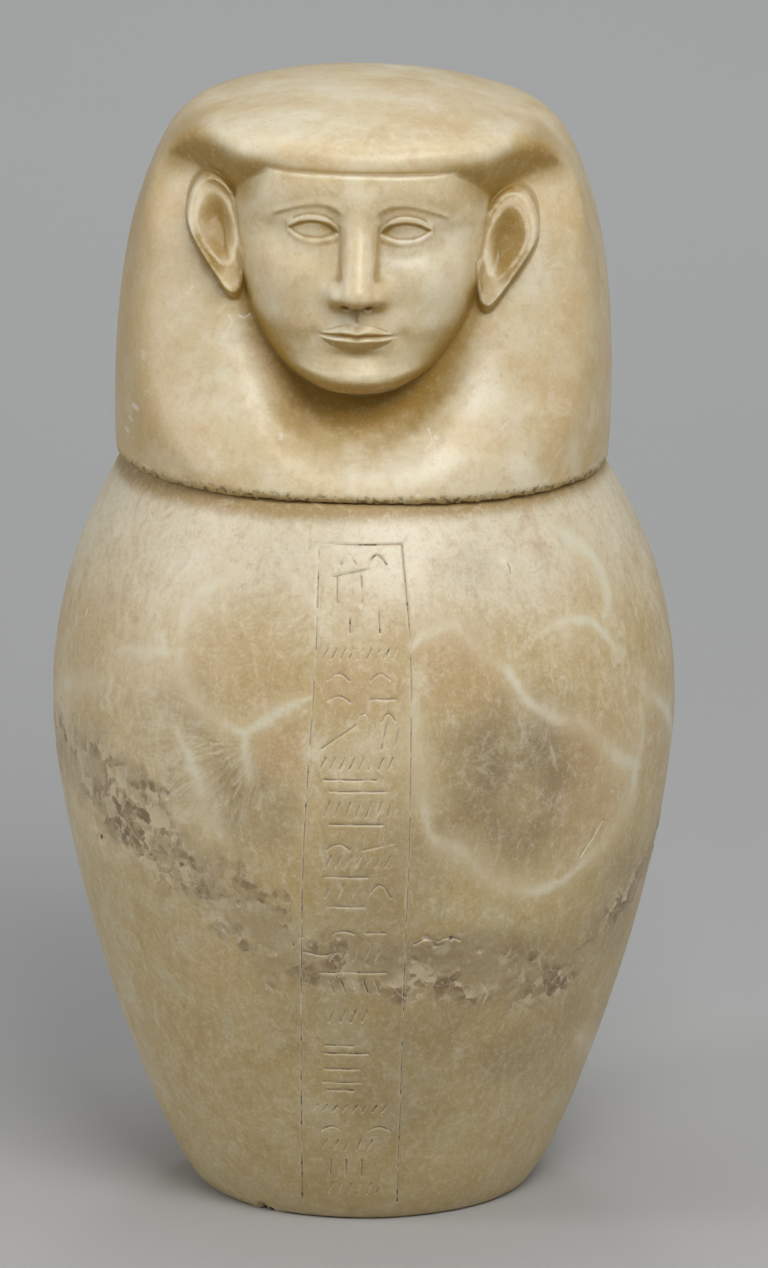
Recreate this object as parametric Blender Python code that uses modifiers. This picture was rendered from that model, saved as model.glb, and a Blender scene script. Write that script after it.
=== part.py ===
"""Canopic jar of banded travertine with a lid carved as a wigged head.

Two pieces of stone: a hollow, turned jar, and a solid head lid whose round plug
drops into the jar's mouth. The jar's axis is Z, it stands on z = 0, and the face
looks along -Y. Metres.
"""
import math

import bmesh
import bpy
import numpy as np
from mathutils import Matrix

# ---- jar ----------------------------------------------------------------------
RIM_HEIGHT = 0.3176          # rim plane, on the axis
RIM_TILT = math.radians(1.1)  # the rim and the lid lean a little towards +X
BELLY_HEIGHT = 0.212         # where the jar is widest
BELLY_RADIUS = 0.132
RIM_NARROWING = 0.0315       # how much narrower the jar is at the rim than at the belly
FOOT_NARROWING = 0.0575      # the same at the foot
FOOT_INSET, FOOT_INSET_HEIGHT = 0.0045, 0.010
FOOT_EDGE = 0.0015
MOUTH_RADIUS = 0.058
NECK_DEPTH = 0.026           # straight part of the mouth
HOLLOW_FLOOR = 0.034
HOLLOW_FLOOR_RADIUS = 0.040
HOLLOW_RADIUS = 0.105        # at the belly
TRIM = 0.0045                # stone above the rim plane that the tilted cut takes away
TURNING_STEPS = 64

# ---- head lid, in its own frame: z = 0 on the seat ---------------------------------
SEAT_GAP = 0.0003
PLUG_RADIUS, PLUG_DEPTH = 0.0558, 0.015
HEAD_TURN = math.radians(-2.0)   # the head is set a little askew on the jar
HEAD_SHIFT = -0.0007
LID_HEIGHT = 0.1625
WIG_HALF_WIDTH, WIG_WIDEST = 0.1046, 0.029
LOWER_EDGE = 0.0030          # rounding of the lid's lower edge
CHIN = 0.0452
THIRD = 0.0385               # hairline to brow, brow to nose, nose to chin
BROW, NOSE = CHIN + 2 * THIRD, CHIN + THIRD
EYE, MOUTH = CHIN + 1.76 * THIRD, CHIN + 0.66 * THIRD
WIG_LINE = CHIN + 2.37 * THIRD
EYE_SPACING = 0.0192         # from the midline; the face is five eyes wide
MASK_BACK = 0.045            # plane that the face's rounding starts from
EAR_X, EAR_Z, EAR_HALF_WIDTH, EAR_HALF_HEIGHT = 0.0603, (BROW + NOSE) / 2 + 0.0015, 0.0124, 0.0250
EAR_DROP = 0.0030            # how much lower the ear at +X sits
FAN_HEIGHT = 0.134           # sight lines are level below this height and tipped up above it
FRONT_HALF = 0.076           # half-width of the flat front that is reached straight ahead

# (height above the chin, half-width) and (height above the chin, depth) of the face
FACE_WIDTH = ((-0.018, 0.010), (-0.005, 0.012), (-0.0025, 0.018), (0.002, 0.0262), (0.008, 0.0338),
              (0.016, 0.0402), (0.027, 0.0463), (0.039, 0.0508), (0.052, 0.0538), (0.0675, 0.0550),
              (0.080, 0.0545), (0.107, 0.050))
FACE_DEPTH = ((-0.018, 0.060), (-0.005, 0.069), (-0.003, 0.079), (-0.001, 0.087), (0.0025, 0.0925),
              (0.007, 0.0942), (0.0125, 0.0926), (0.020, 0.0924), (0.0275, 0.0940), (0.0385, 0.0938),
              (0.052, 0.0920), (0.0675, 0.0905), (0.0725, 0.0922), (0.0775, 0.0934), (0.107, 0.090))
# (distance from the midline) and (height, depth, steepness) of the edge where the wig rolls under
BRIM_HEIGHT = ((0.0, WIG_LINE), (0.030, WIG_LINE - 0.0003), (0.038, WIG_LINE - 0.0020), (0.045, WIG_LINE - 0.0062),
               (0.051, WIG_LINE - 0.0095), (0.057, WIG_LINE - 0.0072), (0.064, WIG_LINE - 0.0030),
               (0.072, WIG_LINE - 0.0012), (0.079, WIG_LINE - 0.0040), (0.086, WIG_LINE - 0.0120),
               (0.094, WIG_LINE - 0.0300))
BRIM_DEPTH = ((0.0, 0.0910), (0.010, 0.0905), (0.020, 0.0887), (0.030, 0.0850), (0.038, 0.0800), (0.045, 0.0730),
              (0.051, 0.0655), (0.057, 0.0600), (0.064, 0.0545), (0.072, 0.0470), (0.080, 0.0390), (0.094, 0.0280))
BRIM_SLOPE = ((0.0, 0.62), (0.025, 0.66), (0.038, 0.78), (0.050, 0.88), (0.062, 0.90), (0.075, 1.15), (0.094, 1.30))
# (height, depth) of the wig's flat front, beside the face and over the chest
LAPPET_DEPTH = ((0.0, 0.108), (0.007, 0.1010), (0.016, 0.0940), (0.030, 0.0850), (0.045, 0.0785),
                (0.060, 0.0745), (0.080, 0.0710), (0.105, 0.0685), (0.125, 0.0655), (0.140, 0.0630))
# (height, how much the front falls back for each metre sideways)
LAPPET_SLOPE = ((0.0, 0.45), (0.070, 0.45), (0.110, 0.55), (0.130, 0.72), (0.145, 0.80))
LAPPET_TURN = 0.045
NECK_DEEP = 0.0135
# (height, half-width) of the neck between the lappets
NECK_HALF_WIDTH = ((0.0, 0.019), (0.020, 0.026), (0.045, 0.039), (0.060, 0.046))

SEGMENTS = 76
FRONT_SHARE = 0.30           # of the way round, each side of the nose, that is reached straight ahead
HEAD_RINGS = 28
CROWN_RISES = (72, 54, 40, 30, 23, 18, 14, 11, 8.5, 6, 3)   # degrees


def clear_scene():
    for item in list(bpy.data.objects):
        bpy.data.objects.remove(item)


def stone(name, colour, roughness):
    material = bpy.data.materials.new(name)
    material.use_nodes = True
    shader = material.node_tree.nodes["Principled BSDF"]
    shader.inputs["Base Color"].default_value = (*colour, 1.0)
    shader.inputs["Roughness"].default_value = roughness
    shader.inputs["Metallic"].default_value = 0.0
    return material


def add_object(name, mesh, collection):
    item = bpy.data.objects.new(name, mesh)
    collection.objects.link(item)
    return item


# ---- jar ----------------------------------------------------------------------

def outer_radius(z):
    """Slender foot, high shoulder: one power curve on each side of the belly."""
    if z < BELLY_HEIGHT:
        below = (BELLY_HEIGHT - z) / BELLY_HEIGHT
        return BELLY_RADIUS - FOOT_NARROWING * below ** 1.62 - FOOT_INSET * math.exp(-z / FOOT_INSET_HEIGHT)
    above = (z - BELLY_HEIGHT) / (RIM_HEIGHT - BELLY_HEIGHT)
    return BELLY_RADIUS - RIM_NARROWING * above ** 2.1


def hollow_radius(z):
    """Drilled out: narrow floor, widest at the belly, in again to the neck."""
    neck_foot = RIM_HEIGHT - NECK_DEPTH
    if z < BELLY_HEIGHT:
        down = (BELLY_HEIGHT - z) / (BELLY_HEIGHT - HOLLOW_FLOOR)
        return HOLLOW_RADIUS - (HOLLOW_RADIUS - HOLLOW_FLOOR_RADIUS) * down ** 1.9
    up = (z - BELLY_HEIGHT) / (neck_foot - BELLY_HEIGHT)
    return HOLLOW_RADIUS - (HOLLOW_RADIUS - MOUTH_RADIUS) * up ** 2.4


def jar_profile():
    """From the middle of the hollow's floor, up inside, over the rim and down the outside."""
    top = RIM_HEIGHT + TRIM
    neck_foot = RIM_HEIGHT - NECK_DEPTH
    points = [(0.0, HOLLOW_FLOOR)]
    points += [(hollow_radius(z), z) for z in np.linspace(HOLLOW_FLOOR, neck_foot, 10)]
    points += [(MOUTH_RADIUS, top), (outer_radius(top), top)]
    points += [(outer_radius(z), z) for z in np.linspace(RIM_HEIGHT - 0.009, 0.012, 13)]
    points += [(outer_radius(FOOT_EDGE), FOOT_EDGE), (outer_radius(0.0) - FOOT_EDGE, 0.0), (0.0, 0.0)]
    return points


def make_jar(collection, cutters):
    points = jar_profile()
    mesh = bpy.data.meshes.new("jar")
    mesh.from_pydata([(r, 0.0, z) for r, z in points], [(i, i + 1) for i in range(len(points) - 1)], [])
    jar = add_object("jar", mesh, collection)
    turn = jar.modifiers.new("turned", "SCREW")
    turn.steps = turn.render_steps = TURNING_STEPS
    turn.use_merge_vertices = True
    turn.merge_threshold = 0.00005
    turn.use_smooth_shade = True

    # the rim is ground to a plane that leans a little
    block = bpy.data.meshes.new("rim_cutter")
    shape = bmesh.new()
    bmesh.ops.create_cube(shape, size=0.4, matrix=Matrix.Translation((0, 0, 0.2)))
    shape.to_mesh(block)
    shape.free()
    cutter = add_object("rim_cutter", block, cutters)
    cutter.location = (0, 0, RIM_HEIGHT)
    cutter.rotation_euler = (0, RIM_TILT, 0)
    cutter.hide_render = True
    cutter.display_type = "WIRE"
    grind = jar.modifiers.new("ground rim", "BOOLEAN")
    grind.operation = "DIFFERENCE"
    grind.object = cutter
    jar.data.materials.append(stone("travertine, jar", (0.56, 0.45, 0.30), 0.42))
    return jar


# ---- head lid -----------------------------------------------------------------

def step(start, end, value):
    """0 before start, 1 after end, smooth between; start may lie above end."""
    t = np.clip((value - start) / (end - start), 0.0, 1.0)
    return t * t * (3 - 2 * t)


def bell(value, centre, width):
    return np.exp(-((value - centre) / width) ** 2)


def along(points, value):
    """Smooth curve through (position, height) points, level beyond its ends."""
    xs, ys = np.array(points).T
    slopes = np.gradient(ys, xs)
    value = np.clip(value, xs[0], xs[-1])
    i = np.clip(np.searchsorted(xs, value) - 1, 0, len(xs) - 2)
    width = xs[i + 1] - xs[i]
    t = (value - xs[i]) / width
    rise = t * t * (3 - 2 * t)
    return (ys[i] * (1 - rise) + ys[i + 1] * rise
            + width * t * (1 - t) * (slopes[i] * (1 - t) - slopes[i + 1] * t))


def soft_min(a, b, blend):
    """Lower of two values, eased over their crossing: joins two solids with a soft corner."""
    h = np.clip(0.5 + 0.5 * (b - a) / blend, 0.0, 1.0)
    return b * (1 - h) + a * h - blend * h * (1 - h)


def soft_max(a, b, blend):
    """Higher of two values, eased: the overlap of two solids."""
    return -soft_min(-a, -b, blend)


def wig(x, y, z):
    """Smooth bag wig: rounded-square plan, domed crown, full over the brow."""
    front = step(0.02, -0.06, y)
    fullness = step(0.070, 0.142, z)
    deep = 0.98 * (1 + fullness * (0.19 * front + 0.02 * (1 - front)))
    square = 2.15 + 0.70 * front * step(0.085, 0.132, z)
    plan = (np.abs(x) ** square + np.abs(y / deep) ** square) ** (1 / square)
    side = WIG_HALF_WIDTH - 1.02 * (z - WIG_WIDEST) ** 2 - 64 * np.maximum(z - WIG_WIDEST, 0) ** 4
    dome = LID_HEIGHT - 0.0162 * (plan / 0.08) ** 2
    return soft_max(plan - side, z - dome, 0.009)


def wig_front(x, z):
    """Depth of the carved front: lappets, chest, hollow of the neck, and the cap rolling out over them."""
    across = np.abs(x)
    lappets = along(LAPPET_DEPTH, z) - along(LAPPET_SLOPE, z) * soft_max(across - LAPPET_TURN, 0.0, 0.02)
    neck = NECK_DEEP * np.exp(-(across / along(NECK_HALF_WIDTH, z)) ** 4) * step(0.010, 0.034, z)
    brim = along(BRIM_DEPTH, across) + along(BRIM_SLOPE, across) * (z - along(BRIM_HEIGHT, across))
    return soft_max(lappets - neck, brim, 0.0008 + 0.0040 * step(0.048, 0.062, across))


def features(x, z):
    """Height of the face's forms over its plain rounded mask."""
    across = np.abs(x)
    sockets = -0.0040 * bell(across, 0.0190, 0.0115) * bell(z, EYE + 0.0012, 0.008)
    eyes = 0.0034 * bell(across, EYE_SPACING, 0.0085) * bell(z, EYE, 0.0038)
    brows = 0.0012 * bell(z, BROW, 0.003) * step(0.004, 0.009, across) * step(0.038, 0.032, across)
    cheeks = 0.0022 * bell(across, 0.0270, 0.0125) * bell(z, NOSE + 0.010, 0.0105)
    chin = 0.0012 * bell(x, 0, 0.011) * bell(z, CHIN + 0.0075, 0.0055)
    lips = 0.0038 * step(0.0175, 0.008, across) * (bell(z, MOUTH + 0.0024, 0.0021) + bell(z, MOUTH - 0.003, 0.0024))
    under_lip = -0.0012 * bell(x, 0, 0.010) * bell(z, MOUTH - 0.009, 0.0027)
    return sockets + eyes + brows + cheeks + chin + lips + under_lip


def nose(x, y, z):
    """Ridge from between the brows to a rounded tip, as a cone between two balls."""
    top, tip = np.array((0, -0.0890, EYE + 0.0075)), np.array((0, -0.1030, NOSE + 0.0052))
    ridge = tip - top
    t = ((x - top[0]) * ridge[0] + (y - top[1]) * ridge[1] + (z - top[2]) * ridge[2]) / (ridge @ ridge)
    t = np.clip(t, 0.0, 1.0)
    away = np.sqrt((x - top[0] - t * ridge[0]) ** 2 + (y - top[1] - t * ridge[1]) ** 2
                   + (z - top[2] - t * ridge[2]) ** 2)
    wings = np.sqrt((np.abs(x) - 0.0060) ** 2 + (y + 0.0972) ** 2 + (z - NOSE - 0.004) ** 2) - 0.0042
    return soft_min(away - (0.0050 + 0.0014 * t), wings, 0.003)


def face(x, y, z):
    width = along(FACE_WIDTH, z - CHIN)
    depth = along(FACE_DEPTH, z - CHIN) - MASK_BACK
    forward = np.maximum(-y - MASK_BACK, 0)
    mask = ((np.abs(x / width) ** 2.3 + (forward / depth) ** 2.3) ** (1 / 2.3) - 1) * np.minimum(width, depth)
    mask = mask - features(x, z) * step(-0.060, -0.078, y)
    return soft_max(soft_min(mask, nose(x, y, z), 0.0080), z - WIG_LINE - 0.0004, 0.0006)


def ears(x, z):
    """Height of the ears over the stone behind them: raised rim, scooped shell, lobe."""
    across, up = np.abs(x) - EAR_X, z - EAR_Z + EAR_DROP * (x > 0)
    t = up / EAR_HALF_HEIGHT
    taper = step(0.15, -1.0, t)
    across = across - 0.12 * up + 0.0052 * taper
    half_width = EAR_HALF_WIDTH * (1 - 0.46 * taper)
    inside = (1 - np.sqrt((across / half_width) ** 2 + t ** 2)) * half_width
    body = (0.0050 + 0.0030 * step(-0.008, 0.012, across)) * step(-0.0016, 0.0034, inside)
    shell = 0.0042 * step(0.0026, 0.0070, inside) * step(-0.80, -0.42, t)
    return body - shell


def head(x, y, z):
    """Distance-like field of the whole head, negative inside the stone."""
    hair = wig(x, y, z)
    corner = 0.0080 + 0.0020 * step(0.110, 0.090, z) + 0.0060 * step(0.118, 0.132, z)
    carved = soft_max(hair, -y - wig_front(x, z) - ears(x, z), corner)
    return np.where(y < 0, soft_min(carved, face(x, y, z), 0.0045), hair)


def sight_line(round_the_head):
    """Foot and direction of the level line that reaches the surface, for a place from 0 to 1.

    The front is reached straight ahead, so the face keeps its detail, and the
    sides and back are reached from two centres behind the ears.
    """
    place = (round_the_head + 0.5) % 1.0 - 0.5          # 0 at the nose, +-0.5 behind
    side = 1.0 if place >= 0 else -1.0
    t = abs(place)
    if t < FRONT_SHARE:
        return (side * FRONT_HALF * t / FRONT_SHARE, 0.0), (0.0, -1.0)
    turn = (t - FRONT_SHARE) / (0.5 - FRONT_SHARE)
    angle = -math.pi / 2 + math.pi * turn
    foot = FRONT_HALF * (1 - turn)
    return (side * foot, 0.0), (side * math.cos(angle), math.sin(angle))


def carve(places, levels, rises):
    """Points of the head, one ring for each level and rise: walk in from outside, then close in."""
    feet, headings = (np.array(part) for part in zip(*map(sight_line, places)))
    grid = (len(levels), len(places), 1)
    flat = np.cos(rises)[:, None, None]
    start = np.concatenate([feet * flat, np.broadcast_to(levels[:, None, None], grid)], axis=2)
    heading = np.concatenate([headings * flat, np.broadcast_to(np.sin(rises)[:, None, None], grid)], axis=2)

    def outside(reach):
        x, y, z = np.moveaxis(start + reach * heading, 2, 0)
        return head(x, y, z)[..., None] > 0

    pace = 0.0015
    reach = np.full(grid, 0.135)
    for _ in range(80):
        reach = np.where(outside(reach), reach - pace, reach)
    inner, outer = reach, reach + pace
    for _ in range(12):
        middle = (inner + outer) / 2
        clear = outside(middle)
        inner, outer = np.where(clear, inner, middle), np.where(clear, middle, outer)
    return start + inner * heading


def make_head_lid(collection):
    """A ball whose rings are pushed out to the crown, the head, the seat and the plug."""
    places = np.arange(SEGMENTS) / SEGMENTS
    rises = np.radians(CROWN_RISES)
    crown = carve(places, np.full(len(rises), FAN_HEIGHT), rises)
    levels = np.linspace(FAN_HEIGHT, LOWER_EDGE, HEAD_RINGS)
    sides = carve(places, levels, np.zeros(HEAD_RINGS))
    lowest = sides[-1]
    inward = 1 - LOWER_EDGE / np.linalg.norm(lowest[:, :2], axis=1, keepdims=True)
    edge = np.column_stack([lowest[:, :2] * inward, np.zeros(SEGMENTS)])
    angle = np.arctan2(edge[:, 1], edge[:, 0])
    plug = np.column_stack([PLUG_RADIUS * np.cos(angle), PLUG_RADIUS * np.sin(angle), np.zeros(SEGMENTS)])
    tip = plug * (0.97, 0.97, 1) - (0, 0, PLUG_DEPTH)
    rings = [*crown, *sides, edge, plug, plug - (0, 0, PLUG_DEPTH - 0.0015), tip]

    shape = bmesh.new()
    bmesh.ops.create_uvsphere(shape, u_segments=SEGMENTS, v_segments=len(rings) + 1, radius=1.0)
    for vertex in shape.verts:
        ring = round(math.acos(max(-1.0, min(1.0, vertex.co.z))) / math.pi * (len(rings) + 1)) - 1
        if ring < 0:
            vertex.co = (0, 0, LID_HEIGHT)
        elif ring >= len(rings):
            vertex.co = (0, 0, -PLUG_DEPTH)
        else:
            around = math.atan2(vertex.co.x, -vertex.co.y) / math.tau
            vertex.co = rings[ring][round(around * SEGMENTS) % SEGMENTS]
    mesh = bpy.data.meshes.new("head_lid")
    shape.to_mesh(mesh)
    shape.free()
    mesh.shade_smooth()
    mesh.set_sharp_from_angle(angle=math.radians(50))
    lid = add_object("head_lid", mesh, collection)
    lean = Matrix.Rotation(RIM_TILT, 4, "Y")
    lid.matrix_world = (Matrix.Translation((HEAD_SHIFT, 0, RIM_HEIGHT)) @ lean
                        @ Matrix.Translation((0, 0, SEAT_GAP)) @ Matrix.Rotation(HEAD_TURN, 4, "Z"))
    lid.data.materials.append(stone("travertine, lid", (0.66, 0.57, 0.40), 0.40))
    return lid


def main():
    clear_scene()
    collection = bpy.data.collections.new("Canopic jar")
    cutters = bpy.data.collections.new("Cutters")
    bpy.context.scene.collection.children.link(collection)
    bpy.context.scene.collection.children.link(cutters)
    make_jar(collection, cutters)
    make_head_lid(collection)


main()
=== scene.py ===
"""Finish for a canopic jar of banded travertine whose lid is carved as a wigged head.

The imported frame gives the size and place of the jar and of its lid. Each is built
again here as one fine stone surface, then scratched, chipped and coloured. The jar's
axis is Z, it stands on z = 0, and the face looks along -Y. Metres.
"""
import math

import bmesh
import bpy
import numpy as np
from bpy.props import FloatProperty, FloatVectorProperty, IntProperty, PointerProperty
from mathutils import Matrix, Vector
from mathutils.bvhtree import BVHTree
from mathutils.kdtree import KDTree


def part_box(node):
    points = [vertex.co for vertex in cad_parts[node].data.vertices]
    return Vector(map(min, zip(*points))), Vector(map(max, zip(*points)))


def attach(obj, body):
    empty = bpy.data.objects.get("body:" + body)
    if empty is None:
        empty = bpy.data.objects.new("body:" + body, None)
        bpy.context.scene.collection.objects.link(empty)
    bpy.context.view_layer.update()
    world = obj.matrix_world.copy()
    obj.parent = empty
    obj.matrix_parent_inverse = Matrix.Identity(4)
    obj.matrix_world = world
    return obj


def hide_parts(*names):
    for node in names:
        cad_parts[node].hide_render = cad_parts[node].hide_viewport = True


bl_info = {
    "name": "Canopic jar in travertine",
    "version": (1, 0, 0),
    "blender": (4, 5, 0),
    "location": "View3D > Sidebar > Canopic jar",
    "description": "Carves and colours a stone jar with a human-headed lid",
    "category": "Object",
}

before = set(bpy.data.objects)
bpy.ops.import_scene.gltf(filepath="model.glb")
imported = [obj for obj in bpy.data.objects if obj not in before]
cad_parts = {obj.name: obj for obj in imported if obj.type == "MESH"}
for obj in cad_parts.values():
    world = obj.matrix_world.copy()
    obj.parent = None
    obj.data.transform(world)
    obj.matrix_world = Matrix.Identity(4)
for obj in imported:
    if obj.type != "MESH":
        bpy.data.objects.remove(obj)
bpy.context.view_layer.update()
JAR_LOW, JAR_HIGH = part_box("jar")

MM = 0.001


def in_units(units, rows):
    """A table as numbers, each column times its unit: MM for millimetres, 1 to leave it as it is."""
    return np.array(rows, float) * units


# ---- jar, sized from the frame ---------------------------------------------------
RIM_TILT = math.radians(1.1)
BELLY_RADIUS = (JAR_HIGH.x - JAR_LOW.x) / 2
RIM_RADIUS = 0.761 * BELLY_RADIUS
RIM_HEIGHT = JAR_HIGH.z - RIM_RADIUS * math.sin(RIM_TILT)
BELLY_HEIGHT = 0.6675 * RIM_HEIGHT
FOOT_NARROWING = 0.0575
FOOT_INSET, FOOT_INSET_HEIGHT = 0.0045, 0.01
FOOT_EDGE, LIP = 0.0015, 0.0012    # how far the foot's and the mouth's edges are eased
MOUTH_RADIUS, NECK_DEPTH = 0.058, 0.026
HOLLOW_FLOOR, HOLLOW_FLOOR_RADIUS, HOLLOW_RADIUS = 0.034, 0.04, 0.105

# ---- lid, in its own frame with z = 0 on the seat --------------------------------
SEAT_GAP = 0.0003
PLUG_RADIUS, PLUG_DEPTH = 0.0558, 0.015
HEAD_TURN = math.radians(-2.0)
HEAD_SHIFT = -0.0007
LID_HEIGHT = 0.1625
WIG_HALF_WIDTH, WIG_WIDEST = 0.1046, 0.029
LOWER_EDGE = 0.003
CHIN = 0.0452
THIRD = 0.0385                # hairline to brow, brow to nose, nose to chin
BROW, NOSE = CHIN + 2 * THIRD, CHIN + THIRD
EYE, MOUTH = CHIN + 1.76 * THIRD, CHIN + 0.66 * THIRD
WIG_LINE = CHIN + 2.37 * THIRD
EYE_SPACING, EYE_HALF = 0.0192, 0.0101   # the face is five eyes wide
MOUTH_HALF = 0.0162
MASK_BACK = 0.045             # plane that the face's rounding starts from
EAR_X, EAR_Z = 0.0603, (BROW + NOSE) / 2 + 0.0015
EAR_HALF_WIDTH, EAR_HALF_HEIGHT = 0.0124, 0.025
EAR_DROP = 0.003              # how much lower the ear at +X sits
FAN_HEIGHT = 0.134            # level below this height, tipped up above it
FRONT_HALF = 0.076            # half-width of the front that is reached straight ahead
BACK_COLUMNS = 28
# angles of the lines that reach the crown, then heights of the level ones: closest on the face
CROWN_RISES = np.radians(np.concatenate([np.linspace(86, 19, 27), np.linspace(17, 0.4, 44)]))
SIDE_LEVELS = np.concatenate([np.linspace(FAN_HEIGHT, 0.0565, 160), np.linspace(0.0556, LOWER_EDGE, 58)])
REACH_START, REACH_PACE, PACES, CLOSINGS = 0.135, 0.0015, 80, 12
PLUG_TAPER, PLUG_EDGE = 0.985, 0.0015

# (height above the chin, half-width) and (height above the chin, depth) of the face
FACE_WIDTH = in_units(MM, (
    (-18, 10), (-5, 12), (-2.5, 18), (2, 26.2), (8, 33.8), (16, 40.2), (27, 46.3), (39, 50.8), (52, 53.8),
    (67.5, 55), (80, 54.5), (107, 50)))
FACE_DEPTH = in_units(MM, (
    (-18, 60), (-5, 69), (-3, 79), (-1, 87), (2.5, 92.5), (7, 94.2), (12.5, 92.6), (20, 92.4), (27.5, 94),
    (38.5, 93.8), (52, 92), (67.5, 90.5), (72.5, 92.2), (77.5, 93.4), (107, 90)))
# (distance from the midline) and (height, depth, steepness) of the edge where the wig rolls under
BRIM_HEIGHT = in_units(MM, (
    (0, 0), (30, -0.3), (38, -2), (45, -6.2), (51, -9.5), (57, -7.2), (64, -3), (72, -1.2), (79, -4),
    (86, -12), (94, -30))) + (0, WIG_LINE)
BRIM_DEPTH = in_units(MM, (
    (0, 91), (10, 90.5), (20, 88.7), (30, 85), (38, 80), (45, 73), (51, 65.5), (57, 60), (64, 54.5),
    (72, 47), (80, 39), (94, 28)))
BRIM_SLOPE = in_units((MM, 1), (
    (0, 0.62), (25, 0.66), (38, 0.78), (50, 0.88), (62, 0.9), (75, 1.15), (94, 1.3)))
# (height, depth) of the wig's flat front, beside the face and over the chest
LAPPET_DEPTH = in_units(MM, (
    (0, 108), (7, 101), (16, 94), (30, 85), (45, 78.5), (60, 74.5), (80, 71), (105, 68.5), (125, 65.5),
    (140, 63)))
# (height, how much the front falls back for each metre sideways)
LAPPET_SLOPE = in_units((MM, 1), ((0, 0.45), (70, 0.45), (110, 0.55), (130, 0.72), (145, 0.8)))
LAPPET_TURN = 0.045           # from the midline to where the front starts to fall back
NECK_DEEP = 0.0135
NECK_HALF_WIDTH = in_units(MM, ((0, 19), (20, 26), (45, 39), (60, 46)))
# swells (+) and hollows (-) of the face: how far out, place from the midline, its spread,
# height over the given line, and its spread
FACE_FORMS = (
    (-3.8, 19, 11.8, EYE, 1.2, 8.4),        # eye sockets
    (-1.8, 8.5, 4.2, EYE, 1, 6),            # their inner corners
    (2.2, 27, 12.5, NOSE, 10, 10.5),        # cheeks
    (-0.6, 15.5, 5.5, NOSE, -1.5, 8),       # folds beside the nose
    (1.2, 0, 11, CHIN, 7.5, 5.5),           # chin
    (3, 0, 15, MOUTH, 0, 11),               # mouth
    (-1.2, 0, 10, MOUTH, -9.2, 2.9),        # under the lower lip
    (-0.9, 17.8, 2.8, MOUTH, 0, 4.2),       # corners of the mouth
)

# ---- the engraved column: (height, place of its left and right border line) ---------
COLUMN_TOP, COLUMN_FOOT = 0.3032, 0.009
COLUMN_LEFT = in_units(MM, (
    (9, -26.2), (79, -26.3), (127, -26), (173, -25.1), (217, -22.6), (262, -19.6), (304, -18.3)))
COLUMN_RIGHT = in_units(MM, (
    (10, 14), (80, 16), (127, 17.2), (173, 18.9), (217, 19.6), (262, 19.5), (304, 15.9)))
# rows of marks, top to bottom, in millimetres: height, half-height, and each mark's kind with where
# it starts and ends, in hundredths of the column's width
MARK_ROWS = (
    (297.5, 1.8, "arc 26 44, arc 58 80"), (292.5, 1.6, "slope 16 60"), (286, 5, "tick 22 22, tick 50 50"),
    (273.5, 4.2, "tick 36 36, tick 68 68"), (260.8, 1.7, "slants 10 84"),
    (251.5, 1.4, "arc 14 36, arc 58 78"), (242.5, 1.2, "arc 14 38, dash 58 84"),
    (235, 1.6, "arc 46 58, arc 70 84"), (227, 5.2, "slope 12 46, slants 60 86"),
    (215.5, 2.2, "slants 14 80"), (208.5, 1.1, "dash 16 66"), (203.5, 1.1, "dash 22 76"),
    (195.5, 3, "slants 20 80"), (189, 0.9, "dash 24 74"), (179, 1.3, "arc 22 44, slope 56 84"),
    (172.5, 2.4, "slants 24 80"), (165.5, 1, "dash 22 62"), (159, 3, "slants 24 50, arc 62 84"),
    (152, 0.9, "dash 24 60"), (140, 1, "arc 30 52, dash 62 80"), (130, 3, "slants 30 74"),
    (121.5, 1, "dash 18 82"), (115, 3, "leaning 30 74"), (101, 2.6, "slants 30 62"),
    (87, 0.8, "dash 24 52"), (83.2, 0.8, "dash 22 66"), (75.7, 1, "dash 24 58"), (69.2, 0.8, "dash 22 60"),
    (65.5, 0.8, "dash 26 52"), (56.5, 1.5, "slants 14 84"), (46.5, 1.1, "arc 20 42, arc 68 90"),
    (38.5, 2.4, "slants 24 70"), (27, 4, "tick 30 30, tick 46 46, tick 62 62"), (16.5, 2.8, "slants 30 80"),
)
STROKE_POINT_GAP = 0.0004
# halvings of the jar's faces, each: how near to a stroke, a vein and a chip, and how far up and
# down the crystal band and round it from the front
CUT_FINER = in_units((MM, MM, MM, 1, 1), (
    (3, 3.5, 6, 1.25, 181), (1.8, 0, 4, 1.05, 85), (1.1, 0, 2.4, 0, 0), (0.6, 0, 0, 0, 0)))

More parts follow.
